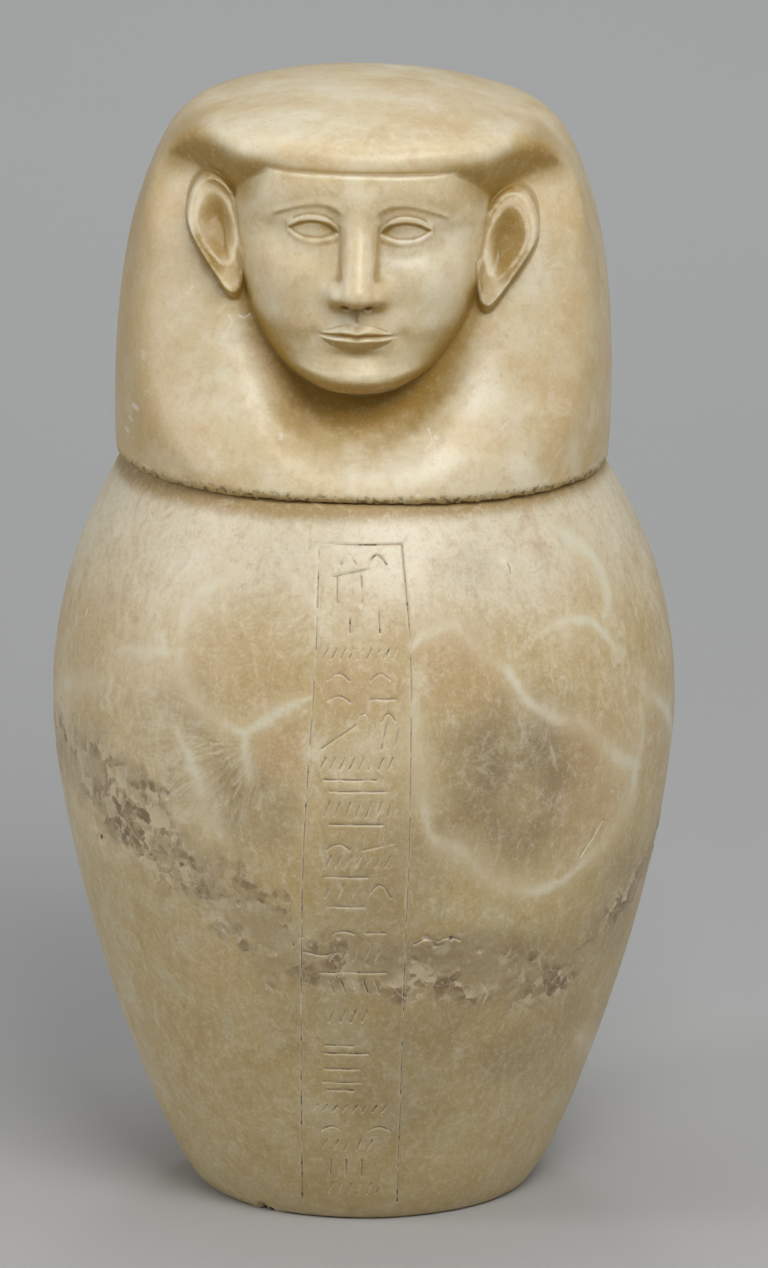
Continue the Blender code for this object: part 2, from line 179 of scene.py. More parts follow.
# ---- the stone's figure on the jar: (degrees from the front, height) -----------------
# pale veins, in millimetres: half-width, then points along them
VEINS = (
    (2.6, ((-53, 250.2), (-45, 252.6), (-38, 255.6))),
    (2.2, ((-37.2, 260.4), (-36.2, 248), (-33.5, 239), (-30, 233), (-25.9, 228.7), (-21.5, 227),
          (-18.6, 231.2), (-15.3, 236.3), (-9.8, 243.1))),
    (3.4, ((-37, 262), (-36.8, 274.6), (-32.2, 284.2), (-26.3, 290.2))),
    (3.2, ((-21.4, 227.5), (-21.8, 217), (-20.9, 207.3))),
    (3.6, ((-36, 223), (-33, 211.7), (-31.1, 200.6), (-30.3, 189.9), (-27.4, 180.6))),
    (3, ((-76, 225), (-65, 230.4), (-57, 236))),
    (2.6, ((9.2, 263.3), (12.9, 268.9), (17.9, 271), (20.7, 264.6), (24.7, 255.7), (29.1, 246.5),
          (30.7, 239), (34, 232.6), (38.3, 226.9), (43.1, 224.2), (48.3, 214.3), (54.4, 203.9),
          (62.1, 196.4))),
    (3.4, ((46, 303), (52.4, 293.4), (56, 285.2), (56.6, 276.8), (55.5, 267.8), (52.8, 262.8))),
    (2.2, ((35.9, 264.1), (43.7, 266.3), (49.5, 263.3), (52.5, 256.7), (54.9, 250.3))),
    (3.2, ((61.3, 237.9), (63.8, 228.1), (70.9, 219), (78.8, 206.6), (86, 190))),
    (2.4, ((61.5, 225), (62.4, 207.5), (60.8, 197.1), (59.5, 182.4), (55.1, 173.6), (50.3, 164.9),
          (40.9, 155.6))),
    (2.8, ((11.7, 186.2), (13.6, 180.6), (18.5, 175.2), (22.4, 165.4), (29, 157.2), (37.3, 153.4),
          (45.9, 158.9))),
    (3, ((9.4, 241.9), (9.9, 216.8), (11, 199.5), (11.7, 186.2))),
    (4, ((100, 285), (112, 262), (128, 250), (146, 256), (158, 274), (160, 296))),
    (3.2, ((92, 238), (108, 226), (124, 220), (138, 200), (152, 188))),
    (3.6, ((176, 262), (190, 240), (206, 228), (224, 232), (238, 250), (244, 274))),
    (3, ((196, 222), (208, 204), (226, 196), (246, 204), (262, 222))),
    (2.6, ((60, 75), (78, 62), (98, 58), (120, 70), (136, 90))),
    (2.8, ((212, 100), (228, 78), (250, 70), (272, 80))),
)
VEIN_STEP = 0.001
# round patches: degrees, height, half-width, half-height, strength
WARM_PATCHES = in_units((1, MM, MM, MM, 1), (
    (-22.5, 256, 27, 26, 0.55), (-16, 219, 13, 16, 0.85), (0, 247, 24, 15, 0.8), (18.6, 252, 19, 20, 0.9),
    (48, 214.3, 24, 22, 0.75), (46, 187, 24, 22, 0.65), (-66, 246, 24, 24, 0.6), (51, 279, 16, 14, 0.45),
    (-33, 117, 18, 16, 0.6), (68, 205, 16, 18, 0.6), (-58, 275, 30, 24, 0.3), (-30, 300, 22, 12, 0.25),
    (120, 240, 40, 30, 0.6), (205, 250, 45, 34, 0.6), (160, 215, 34, 26, 0.45), (150, 100, 36, 30, 0.45),
    (240, 110, 34, 30, 0.4), (275, 240, 30, 28, 0.5)))
DARK_PATCHES = in_units((1, MM, MM, MM, 1), (
    (30, 203, 46, 40, 1), (-21, 195, 22, 24, 0.55), (3, 165, 30, 34, 0.45), (-8, 100, 30, 30, 0.35),
    (14, 75, 40, 40, 0.55), (40, 80, 40, 50, 0.4), (-34, 236, 16, 16, 0.35), (28, 230, 20, 14, 0.45),
    (55, 120, 30, 30, 0.35), (22, 292, 12, 10, 0.25), (20, 126.5, 52, 13, 1), (36, 95, 50, 42, 0.75),
    (62, 135, 30, 30, 0.6), (110, 190, 40, 36, 0.55), (200, 190, 50, 34, 0.55), (180, 80, 50, 40, 0.45),
    (255, 180, 36, 34, 0.45)))
FIBRE_PATCHES = in_units((1, MM, MM, MM, 1), (
    (-29, 206, 26, 22, 1), (-38, 225, 22, 18, 0.6), (26, 216, 20, 18, 0.5), (140, 215, 34, 24, 0.8),
    (225, 212, 34, 22, 0.8)))
FIBRE_CENTRE = (-0.04, -0.124, 0.226)
# the pitted crystal band: (degrees, height of its middle) and (degrees, half-height)
CRYSTAL_MIDDLE = in_units((1, MM), (
    (-180, 150), (-150, 163), (-110, 184), (-75, 191.4), (-54, 189.5), (-44, 176.8), (-33, 160), (-21, 141),
    (-7, 127.6), (7, 125), (17, 124), (29, 118.6), (45, 114.9), (63, 134), (78, 150), (105, 163),
    (140, 152), (180, 150)))
CRYSTAL_HALF = in_units((1, MM), (
    (-180, 12), (-110, 16), (-60, 23), (-38, 25), (-22, 21.5), (-7, 17), (13, 18.5), (30, 15), (60, 12),
    (110, 13), (180, 12)))
CRYSTAL_SCALE = 150.0         # crystals to the metre
# chips and open pits: degrees, height, radius
JAR_CHIPS = in_units((1, MM, MM), (
    (-36.7, 1.2, 4.2), (-34.2, 0.6, 2.6), (12.2, 137.2, 2.2), (14.6, 133.5, 3), (17.5, 136.2, 1.7),
    (10.2, 127, 2), (8.8, 110.5, 1.8), (-39.1, 194.2, 3.4), (-47.5, 164, 2.8), (-60.6, 165, 3),
    (53, 190, 1.4), (24, 129, 2), (-25, 150, 1.8), (-5, 138, 1.7), (140, 1, 4.8), (205, 150, 3),
    (120, 160, 2.8), (-100, 186, 2.8)))
JAR_CHIP_DEPTH = 0.45         # of a chip's radius
# cracks and slits: points as (degrees, height in millimetres)
JAR_CRACKS = (
    ((31.7, 292.5), (31.9, 290.5), (31.8, 288.5)),
    ((36.2, 286.8), (38, 287.2), (39.8, 288)),
    ((50.8, 177.5), (49.4, 174), (48.2, 170.2), (46.6, 166.8), (45.5, 164)),
    ((-66.9, 261.2), (-67, 259)),
    ((10, 134.5), (12.5, 136.2), (15, 135), (17, 136.6), (19.5, 134.8)),
    ((-12, 131), (-8, 129.6), (-5, 131.2)),
    ((26, 113), (27, 108.5), (26.4, 104)),
)
# scratches and cracks in the lid's front: points as (x, height) in millimetres
LID_SCRATCHES = (
    ((-90.5, 52), (-91.5, 43), (-92.5, 34), (-94, 26)),
    ((-94, 26), (-96.5, 19), (-98.5, 12)),
    ((-54.5, 71.5), (-53, 69), (-54, 66.5), (-55.5, 63)),
    ((-50, 71.5), (-48, 70.5), (-45.5, 72)),
    ((30, 29), (31.5, 24), (29, 21.5)),
    ((64, 33), (60, 29)),
    ((-70, 82), (-71.5, 79)),
)
# shallow chips: x, height, radius
LID_CHIPS = in_units(MM, (
    (-96.5, 10, 3), (-94.5, 18, 2.2), (-92.5, 33, 1.8), (98, 4, 4), (34.5, 25.5, 2.8), (-31, 24, 2.4),
    (-70, 2, 3), (20, 1, 2.6), (56, 1.5, 3)))
LID_CHIP_DEPTH = 0.35
CRUMBLE_SCALE = 420.0         # grains to the metre on the lid's lower edge

# how much light sinks in, and how deep; then the bump's depth
JAR_GLOW, JAR_BUMP = (0.5, 0.008), 0.00018
LID_GLOW, LID_BUMP = (0.6, 0.01), 0.00014

# ---- stage ------------------------------------------------------------------------
VIEW_PITCH = math.radians(14.2)
VIEW_DISTANCE = 4.6
VIEW_LENS, SENSOR = 307.87, 36.0
VIEW_SIDE, VIEW_RISE = 0.0085, 0.0034
VIEW_HEIGHT = 0.2341
FLOOR_HALF, FLOOR_GREY, FLOOR_ROUGHNESS = 14.0, (186, 186, 186), 0.85
# soft boxes turned to the jar's top: place, width, height, power, colour
SOFT_BOXES = {
    "overhead": ((0.5, -1.48, 1.72), 1.2, 1.0, 28.0, (1.0, 0.99, 0.97)),
    "top": ((0.0, 0.35, 2.2), 1.4, 1.0, 7.0, (1.0, 1.0, 1.0)),
    "left strip": ((-1.5, -0.5, 0.8), 0.3, 1.2, 7.0, (1.0, 1.0, 1.0)),
    "right strip": ((1.7, -0.3, 0.8), 0.35, 1.2, 2.2, (1.0, 1.0, 1.0)),
}
# a spot that lights the floor behind the jar
WASH_PLACE, WASH_TARGET = (0.0, 3.0, 3.2), (0.0, 2.6, 0.0)
WASH_ANGLE, WASH_SOFTNESS, WASH_POWER, WASH_COLOUR = math.radians(88), 0.4, 205.0, (0.98, 1.0, 1.0)
SKY_COLOUR, SKY_STRENGTH = (0.95, 0.97, 1.0, 1.0), 0.18


# ---- sums on arrays ---------------------------------------------------------------

def step(start, end, value):
    """0 before start, 1 after end, smooth between; start may lie above end."""
    t = np.clip((value - start) / (end - start), 0.0, 1.0)
    return t * t * (3 - 2 * t)


def bell(value, centre, width):
    """1 at the centre, falling away on both sides."""
    return np.exp(-((value - centre) / width) ** 2)


def along(points, value):
    """Smooth curve through (position, height) points, level beyond its ends."""
    xs, ys = np.array(points).T
    slopes = np.gradient(ys, xs)
    value = np.clip(value, xs[0], xs[-1])
    i = np.clip(np.searchsorted(xs, value) - 1, 0, len(xs) - 2)
    width = xs[i + 1] - xs[i]
    t = (value - xs[i]) / width
    rise = t * t * (3 - 2 * t)
    return (ys[i] * (1 - rise) + ys[i + 1] * rise
            + width * t * (1 - t) * (slopes[i] * (1 - t) - slopes[i + 1] * t))


def soft_min(a, b, blend):
    """Lower of two values, eased over their crossing: joins two solids with a soft corner."""
    h = np.clip(0.5 + 0.5 * (b - a) / blend, 0.0, 1.0)
    return b * (1 - h) + a * h - blend * h * (1 - h)


def soft_max(a, b, blend):
    """Higher of two values, eased: the overlap of two solids."""
    return -soft_min(-a, -b, blend)


def egg(x, y, z, centre, radii):
    """Distance-like field of an ellipsoid."""
    parts = [(value - middle) / radius for value, middle, radius in zip((x, y, z), centre, radii)]
    near = np.sqrt(sum(part * part for part in parts)) + 1e-9
    steep = np.sqrt(sum((part / radius) ** 2 for part, radius in zip(parts, radii))) + 1e-9
    return near * (near - 1) / steep


def smooth_line(points, gap):
    """Points about a gap apart on a smooth curve through the given ones."""
    points = np.array(points, float)
    if len(points) == 2:
        points = np.array([points[0], points.mean(0), points[1]])
    lengths = np.r_[0, np.cumsum(np.linalg.norm(np.diff(points, axis=0), axis=1))]
    places = np.linspace(0, lengths[-1], max(2, int(lengths[-1] / gap) + 1))
    return np.column_stack([along(np.column_stack([lengths, column]), places) for column in points.T])


# ---- node trees -------------------------------------------------------------------

class Socket:
    """A node's output. Arithmetic on it adds Math nodes."""

    def __init__(self, nodes, socket):
        self.nodes = nodes
        self.socket = socket

    def math(self, operation, *values):
        return self.nodes.add("ShaderNodeMath", {"operation": operation}, dict(enumerate(values)))

    def __add__(self, other):
        return self.math("ADD", self, other)

    def __sub__(self, other):
        return self.math("SUBTRACT", self, other)

    def __rsub__(self, other):
        return self.math("SUBTRACT", other, self)

    def __mul__(self, other):
        return self.math("MULTIPLY", self, other)

    def __truediv__(self, other):
        return self.math("DIVIDE", self, other)

    __radd__ = __add__
    __rmul__ = __mul__

    def vector(self, operation, *values, output=0, **named):
        inputs = {**dict(enumerate((self, *values))), **named}
        return self.nodes.add("ShaderNodeVectorMath", {"operation": operation}, inputs, output)

    def axis(self, name):
        """One part of a vector or a colour."""
        return self.nodes.add("ShaderNodeSeparateXYZ", None, {"Vector": self}, name)

    def rise(self, low, high):
        """0 at low, 1 at high, smooth between; low may lie above high."""
        return self.nodes.add("ShaderNodeMapRange", {"interpolation_type": "SMOOTHSTEP"},
                              {"Value": self, "From Min": low, "From Max": high})

    def beside(self, name):
        """Another output of the same node."""
        return Socket(self.nodes, self.nodes.find(self.socket.node.outputs, name))


class Nodes:
    """A node tree, with one way to add a node to it, and the textures that all trees here share."""

    def __init__(self, tree, place_kind, place_output=0):
        self.tree = tree
        self.place = self.add(place_kind, output=place_output)

    @staticmethod
    def find(sockets, key):
        if isinstance(key, int):
            return sockets[key]
        return next(s for s in sockets if s.identifier == key or (s.name == key and s.enabled))

    def add(self, kind, settings=None, values=None, output=0):
        node = self.tree.nodes.new(kind)
        for name, value in (settings or {}).items():
            setattr(node, name, value)
        for key, value in (values or {}).items():
            socket = self.find(node.inputs, key)
            if isinstance(value, Socket):
                self.tree.links.new(value.socket, socket)
            else:
                socket.default_value = value
        return Socket(self, self.find(node.outputs, output))

    def noise(self, scale, detail=2.0, roughness=0.5, distortion=0.0, place=None):
        return self.add("ShaderNodeTexNoise", None, {
            "Vector": place or self.place, "Scale": scale, "Detail": detail,
            "Roughness": roughness, "Distortion": distortion})

    def cells(self, scale, output, feature="F1", place=None):
        return self.add("ShaderNodeTexVoronoi", {"feature": feature},
                        {"Vector": place or self.place, "Scale": scale}, output)


class Stone(Nodes):
    """A material's nodes, and the colour that its layers have built up so far."""

    def __init__(self, name, colour):
        self.colour = (*colour, 1.0)
        self.material = bpy.data.materials.new(name)
        self.material.use_nodes = True
        super().__init__(self.material.node_tree, "ShaderNodeTexCoord", "Object")
        self.shader = self.tree.nodes["Principled BSDF"]

    def stretched(self, scale, turn=(0, 0, 0)):
        return self.add("ShaderNodeMapping", None, {"Vector": self.place, "Scale": scale, "Rotation": turn})

    def bent(self, scale, amount):
        """Places shifted a little, each its own way."""
        shift = self.noise(scale, 3.0).beside("Color").vector("SUBTRACT", (0.5, 0.5, 0.5))
        return self.place.vector("ADD", shift.vector("SCALE", Scale=2 * amount))

    def held(self, name):
        """A value kept at the mesh's points."""
        return self.add("ShaderNodeAttribute", {"attribute_name": name}, output="Fac")

    def lay(self, amount, colour):
        """Cover what is there so far with a colour, by an amount from 0 to 1."""
        self.colour = self.add("ShaderNodeMix", {"data_type": "RGBA"}, {
            "Factor_Float": amount, "A_Color": self.colour, "B_Color": (*colour, 1.0)}, "Result_Color")

    def tint(self, amount, red, green, blue):
        """Cover with a screen colour."""
        self.lay(amount, paint(red, green, blue))

    def mottle(self, texture, *layers):
        """Screen colours where a texture rises from one value to another: from, to, how much, colour."""
        for low, high, share, colour in layers:
            self.tint(texture.rise(low, high) * share, *colour)

    def finish(self, roughness, height, bump_depth):
        bump = self.add("ShaderNodeBump", None, {"Strength": 1.0, "Distance": bump_depth, "Height": height})
        for name, value in (("Base Color", self.colour), ("Roughness", roughness), ("Normal", bump)):
            self.tree.links.new(value.socket, self.shader.inputs[name])
        return self.material


def paint(red, green, blue):
    """Screen colour, 0 to 255 a channel, as the shader wants it."""
    parts = [part / 255 for part in (red, green, blue)]
    return tuple(p / 12.92 if p <= 0.04045 else ((p + 0.055) / 1.055) ** 2.4 for p in parts)


# ---- sizes and colours that a user would change --------------------------------------

def length_setting(name, description, default):
    return FloatProperty(name=name, description=description, default=default, unit="LENGTH")


def density_setting(name, description, default):
    return FloatProperty(name=name, description=description, default=default)


def colour_setting(name, description, red, green, blue):
    return FloatVectorProperty(name=name, description=description, subtype="COLOR", size=3,
                               min=0.0, max=1.0, default=paint(red, green, blue))


class JarSettings(bpy.types.PropertyGroup):
    spacing: length_setting("Spacing", "Size of plain faces, which are halved where detail is", 0.0042)
    line_width: length_setting("Stroke width", "Half-width of an engraved stroke", 0.00055)
    line_depth: length_setting("Stroke depth", "Depth of an engraved stroke", 0.00065)
    unevenness: length_setting("Unevenness", "How far the hand-ground surface wanders", 0.00035)
    crumble_relief: length_setting("Crystal relief", "Height between the broken crystals of the band", 0.0008)
    pit_density: density_setting("Pits", "Pits for each square metre of the crystal band", 9000.0)
    pit_size: length_setting("Pit size", "Radius of the largest pits", 0.0015)
    seed: IntProperty(name="Seed", description="Changes where the pits lie", default=4)


class LidSettings(bpy.types.PropertyGroup):
    line_width: length_setting("Scratch width", "Half-width of a scratch", 0.00055)
    line_depth: length_setting("Scratch depth", "Depth of a scratch", 0.0003)
    unevenness: length_setting("Unevenness", "How far the hand-ground surface wanders", 0.00025)
    crumble_relief: length_setting("Crumbled relief", "Height between the lower edge's broken grains", 0.0008)
    pit_density: density_setting("Pits", "Pits for each square metre of the crumbled edge", 40000.0)
    pit_size: length_setting("Pit size", "Radius of the largest pits", 0.0014)
    seed: IntProperty(name="Seed", description="Changes where the pits lie", default=9)


class StoneColours(bpy.types.PropertyGroup):
    cream: colour_setting("Cream", "The palest stone", 225, 208, 170)
    tan: colour_setting("Tan", "The usual stone", 207, 185, 137)
    # Deep is the jar's own lower colour, and is also laid as painted shade where the stone faces down or lies
    # hidden.
    deep: colour_setting("Deep", "Golden brown where the stone faces down", 194, 171, 116)
    warm: colour_setting("Warm", "Orange-tan inside the round growths", 204, 174, 127)
    vein: colour_setting("Vein", "Milky veins round the growths", 232, 226, 202)
    crystal: colour_setting("Crystal", "Grey-brown clear crystals", 152, 128, 92)
    # Amber is painted shade: it is laid in hollows, creases, under the wig's roll, just below the lid's edge
    # and where the stone faces down.
    amber_shade: colour_setting("Amber", "Stain that gathers in the hollows", 163, 128, 46)
    dirt: colour_setting("Dirt", "Dark grains in the cuts and on the broken edge", 92, 74, 38)


# ---- jar --------------------------------------------------------------------------

def outer_radius(z):
    """Slender foot, high shoulder: one power curve on each side of the belly."""
    below = np.maximum(BELLY_HEIGHT - z, 0) / BELLY_HEIGHT
    above = np.maximum(z - BELLY_HEIGHT, 0) / (RIM_HEIGHT - BELLY_HEIGHT)
    foot = FOOT_NARROWING * below ** 1.62 + FOOT_INSET * np.exp(-np.maximum(z, 0) / FOOT_INSET_HEIGHT)
    return BELLY_RADIUS - np.where(z < BELLY_HEIGHT, foot, (BELLY_RADIUS - RIM_RADIUS) * above ** 2.1)


def hollow_radius(z):
    """Drilled out: narrow floor, widest at the belly, in again to the neck."""
    neck_foot = RIM_HEIGHT - NECK_DEPTH
    down = np.maximum(BELLY_HEIGHT - z, 0) / (BELLY_HEIGHT - HOLLOW_FLOOR)
    up = np.maximum(z - BELLY_HEIGHT, 0) / (neck_foot - BELLY_HEIGHT)
    lower = HOLLOW_RADIUS - (HOLLOW_RADIUS - HOLLOW_FLOOR_RADIUS) * down ** 1.9
    return np.where(z < BELLY_HEIGHT, lower, HOLLOW_RADIUS - (HOLLOW_RADIUS - MOUTH_RADIUS) * up ** 2.4)


def on_jar(degrees, z):
    """Points on the jar's outer surface; 0 degrees is the front, +90 is +X."""
    angle = np.radians(degrees)
    radius = outer_radius(z)
    return np.column_stack([radius * np.sin(angle), -radius * np.cos(angle), z])


def across_jar(x, z):
    """Points on the front of the jar, from their place across it."""
    radius = outer_radius(z)
    return np.column_stack([x, -np.sqrt(radius ** 2 - x ** 2), z])


def skin(name, rings, first, last):
    """One closed mesh over rings of points, with a point at each end."""
    count, around = len(rings), len(rings[0])
    points = np.concatenate([*rings, [first], [last]])
    index = np.arange(count * around).reshape(count, around)
    after = np.roll(index, -1, axis=1)
    walls = np.stack([index[:-1], index[1:], after[1:], after[:-1]], axis=-1).reshape(-1, 4)
    first_cap = np.column_stack([np.full(around, count * around), index[0], after[0]])
    last_cap = np.column_stack([np.full(around, count * around + 1), after[-1], index[-1]])
    mesh = bpy.data.meshes.new(name)
    mesh.from_pydata(points.tolist(), [], [*walls.tolist(), *first_cap.tolist(), *last_cap.tolist()])
    return mesh


def jar_rings(spacing):
    """Rings up the hollow, over the mouth and the rim, and down the outside."""
    columns = round(math.tau * BELLY_RADIUS / spacing)
    angle = np.arange(columns) * math.tau / columns - math.pi / 2
    profile = [(hollow_radius(z), z, 0.0) for z in np.linspace(HOLLOW_FLOOR, RIM_HEIGHT - NECK_DEPTH, 22)]
    profile += [(MOUTH_RADIUS, RIM_HEIGHT - LIP, 1.0), (MOUTH_RADIUS + LIP, RIM_HEIGHT, 1.0)]
    profile += [(r, RIM_HEIGHT, 1.0) for r in np.linspace(MOUTH_RADIUS + 0.01, RIM_RADIUS - 0.0015, 5)]
    fine = np.linspace(RIM_HEIGHT - LIP, FOOT_EDGE, 500)
    length = np.r_[0, np.cumsum(np.hypot(np.diff(fine), np.diff(outer_radius(fine))))]
    heights = np.interp(np.linspace(0, length[-1], round(length[-1] / spacing)), length, fine)
    profile += [(outer_radius(z), z, step(0.25, RIM_HEIGHT, z)) for z in heights]
    foot = outer_radius(0.0)
    profile += [(foot - 0.0004, 0.0004, 0.0), (foot - FOOT_EDGE, 0.0, 0.0), (0.6 * foot, 0.0, 0.0)]
    rings = []
    for radius, z, lean in profile:
        x = radius * np.cos(angle)
        rings.append(np.column_stack([x, radius * np.sin(angle), z - lean * math.tan(RIM_TILT) * x]))
    return rings


def halve(shape, wanted):
    """Cut the wanted faces into four, and put the new points on the jar's surface."""
    edges = {edge for face, want in zip(shape.faces, wanted) if want for edge in face.edges}
    made = bmesh.ops.subdivide_edges(
        shape, edges=list(edges), cuts=1, use_grid_fill=True, use_single_edge=True)
    for vertex in made["geom_inner"]:
        if isinstance(vertex, bmesh.types.BMVert):
            stretch = float(outer_radius(vertex.co.z)) / math.hypot(vertex.co.x, vertex.co.y)
            vertex.co.x *= stretch
            vertex.co.y *= stretch


def nearest(points):
    """A tree of points that can be asked for the closest one."""
    tree = KDTree(len(points))
    for i, point in enumerate(points):
        tree.insert(point, i)
    tree.balance()
    return tree


def distances(tree, places):
    """From each place to the closest point of a tree, and that point's number."""
    found = [tree.find(place)[1:] for place in places]
    return np.array([d for _, d in found]), np.array([i for i, _ in found])


def outside(places):
    """True on the jar's outer side."""
    return np.hypot(places[:, 0], places[:, 1]) > 0.9 * outer_radius(places[:, 2])


def degrees_of(places):
    """Angle round the jar from its front."""
    return np.degrees(np.arctan2(places[:, 0], -places[:, 1]))


def crystal_place(places):
    """Height over the crystal band's middle, as a share of its half-height."""
    degrees = degrees_of(places)
    return (places[:, 2] - along(CRYSTAL_MIDDLE, degrees)) / along(CRYSTAL_HALF, degrees)


def patches(table, places):
    """Soft round patches on the jar, 0 to 1."""
    degrees = degrees_of(places)
    total = np.zeros(len(places))
    for middle, height, half_width, half_height, strength in table:
        apart = (degrees - middle + 180) % 360 - 180
        across = np.radians(apart) * outer_radius(places[:, 2])
        far = np.sqrt((across / half_width) ** 2 + ((places[:, 2] - height) / half_height) ** 2)
        total = np.maximum(total, strength * step(1.25, 0.55, far))
    return total


def mark(kind, start, end, z, half):
    """One plain mark as lines of (share of the column's width, height)."""
    plain = {"dash": ((start, z), (end, z)), "tick": ((start, z + half), (start, z - half)),
             "slope": ((start, z - half), (end, z + half))}
    if kind in plain:
        return [plain[kind]]
    if kind == "arc":
        turns = np.linspace(0, 1, 7)
        return [[(start + (end - start) * t, z - half + 2 * half * math.sin(math.pi * t)) for t in turns]]
    count = max(2, round((end - start) / 0.085))
    lean = 0.045 if kind == "slants" else -0.045
    middles = np.linspace(start, end, count)
    return [[(middle - lean / 2, z - half), (middle + lean / 2, z + half)] for middle in middles]


def engraved_lines():
    """The column's borders and its rows of marks, as lines of points on the jar."""
    lines = []
    heights = np.arange(COLUMN_FOOT, COLUMN_TOP, STROKE_POINT_GAP)
    for border in (COLUMN_LEFT, COLUMN_RIGHT):
        lines.append(across_jar(along(border, heights), heights))
    for z, half, marks in (*MARK_ROWS, (COLUMN_TOP / MM, 0, "dash 0 100")):
        for kind, start, end in map(str.split, marks.split(", ")):
            for line in mark(kind, int(start) / 100, int(end) / 100, z * MM, half * MM):
                share, height = np.array(line).T
                left, right = along(COLUMN_LEFT, height), along(COLUMN_RIGHT, height)
                flat = smooth_line(np.column_stack([left + share * (right - left), height]), STROKE_POINT_GAP)
                lines.append(across_jar(flat[:, 0], flat[:, 1]))
    return lines


def line_object(name, lines):
    """Loose edges along lines, for the carving to follow."""
    mesh = bpy.data.meshes.new(name)
    points, edges = [], []
    for line in lines:
        edges += [(len(points) + i, len(points) + i + 1) for i in range(len(line) - 1)]
        points += line.tolist()
    mesh.from_pydata(points, edges, [])
    return linked(name, mesh)


def point_object(name, points, sizes):
    """Loose points, each with a size."""
    mesh = bpy.data.meshes.new(name)
    mesh.from_pydata(points.tolist(), [], [])
    keep(mesh, "size", sizes)
    return linked(name, mesh)


def linked(name, mesh):
    item = bpy.data.objects.new(name, mesh)
    bpy.context.scene.collection.objects.link(item)
    return item


def keep(mesh, name, values):
    """Store a value at each of the mesh's points."""
    attribute = mesh.attributes.new(name, "FLOAT", "POINT")
    attribute.data.foreach_set("value", np.asarray(values, np.float32))


def points_of(mesh):
    places = np.empty(len(mesh.vertices) * 3, np.float32)
    mesh.vertices.foreach_get("co", places)
    return places.reshape(-1, 3).astype(float)


def vein_points():
    """Points along all veins, with each one's half-width."""
    points, widths = [], []
    for half_width, line in VEINS:
        run = smooth_line(on_jar(*in_units((1, MM), line).T), VEIN_STEP)
        places = on_jar(degrees_of(run), run[:, 2])
        points.append(places)
        ends = np.minimum(np.arange(len(places)), np.arange(len(places))[::-1]) * VEIN_STEP
        widths.append(half_width * MM * (0.45 + 0.55 * step(0, 0.01, ends)))
    return np.concatenate(points), np.concatenate(widths)


def jar_mesh(spacing, lines, chips):
    """The whole jar, cut finer along strokes, chips, veins and the crystal band."""
    mesh = skin("jar", jar_rings(spacing), (0, 0, HOLLOW_FLOOR), (0, 0, 0))
    shape = bmesh.new()
    shape.from_mesh(mesh)
    strokes = nearest(np.concatenate([line[::2] for line in lines]))
    veins, widths = vein_points()
    vein_tree, chip_tree = nearest(veins), nearest(chips)
    for *reaches, band_share, band_angle in CUT_FINER:
        places = np.array([face.calc_center_median() for face in shape.faces])
        wanted = (np.abs(crystal_place(places)) < band_share) & (np.abs(degrees_of(places)) < band_angle)
        for tree, reach in zip((strokes, vein_tree, chip_tree), reaches):
            wanted |= distances(tree, places)[0] < reach
        halve(shape, outside(places) & wanted)
    shape.to_mesh(mesh)
    shape.free()

    places = points_of(mesh)
    far, number = distances(vein_tree, places)
    keep(mesh, "vein", np.minimum(far / widths[number], 9.0))
    out = outside(places)
    for name, table in (("warm", WARM_PATCHES), ("dark", DARK_PATCHES), ("fibre", FIBRE_PATCHES)):
        keep(mesh, name, patches(table, places))
    keep(mesh, "crystal", np.where(out, crystal_place(places), 4.0))
    keep(mesh, "crumble", out * step(1.1, 0.45, np.abs(crystal_place(places))))
    return mesh


# ---- carving, as geometry nodes -------------------------------------------------------

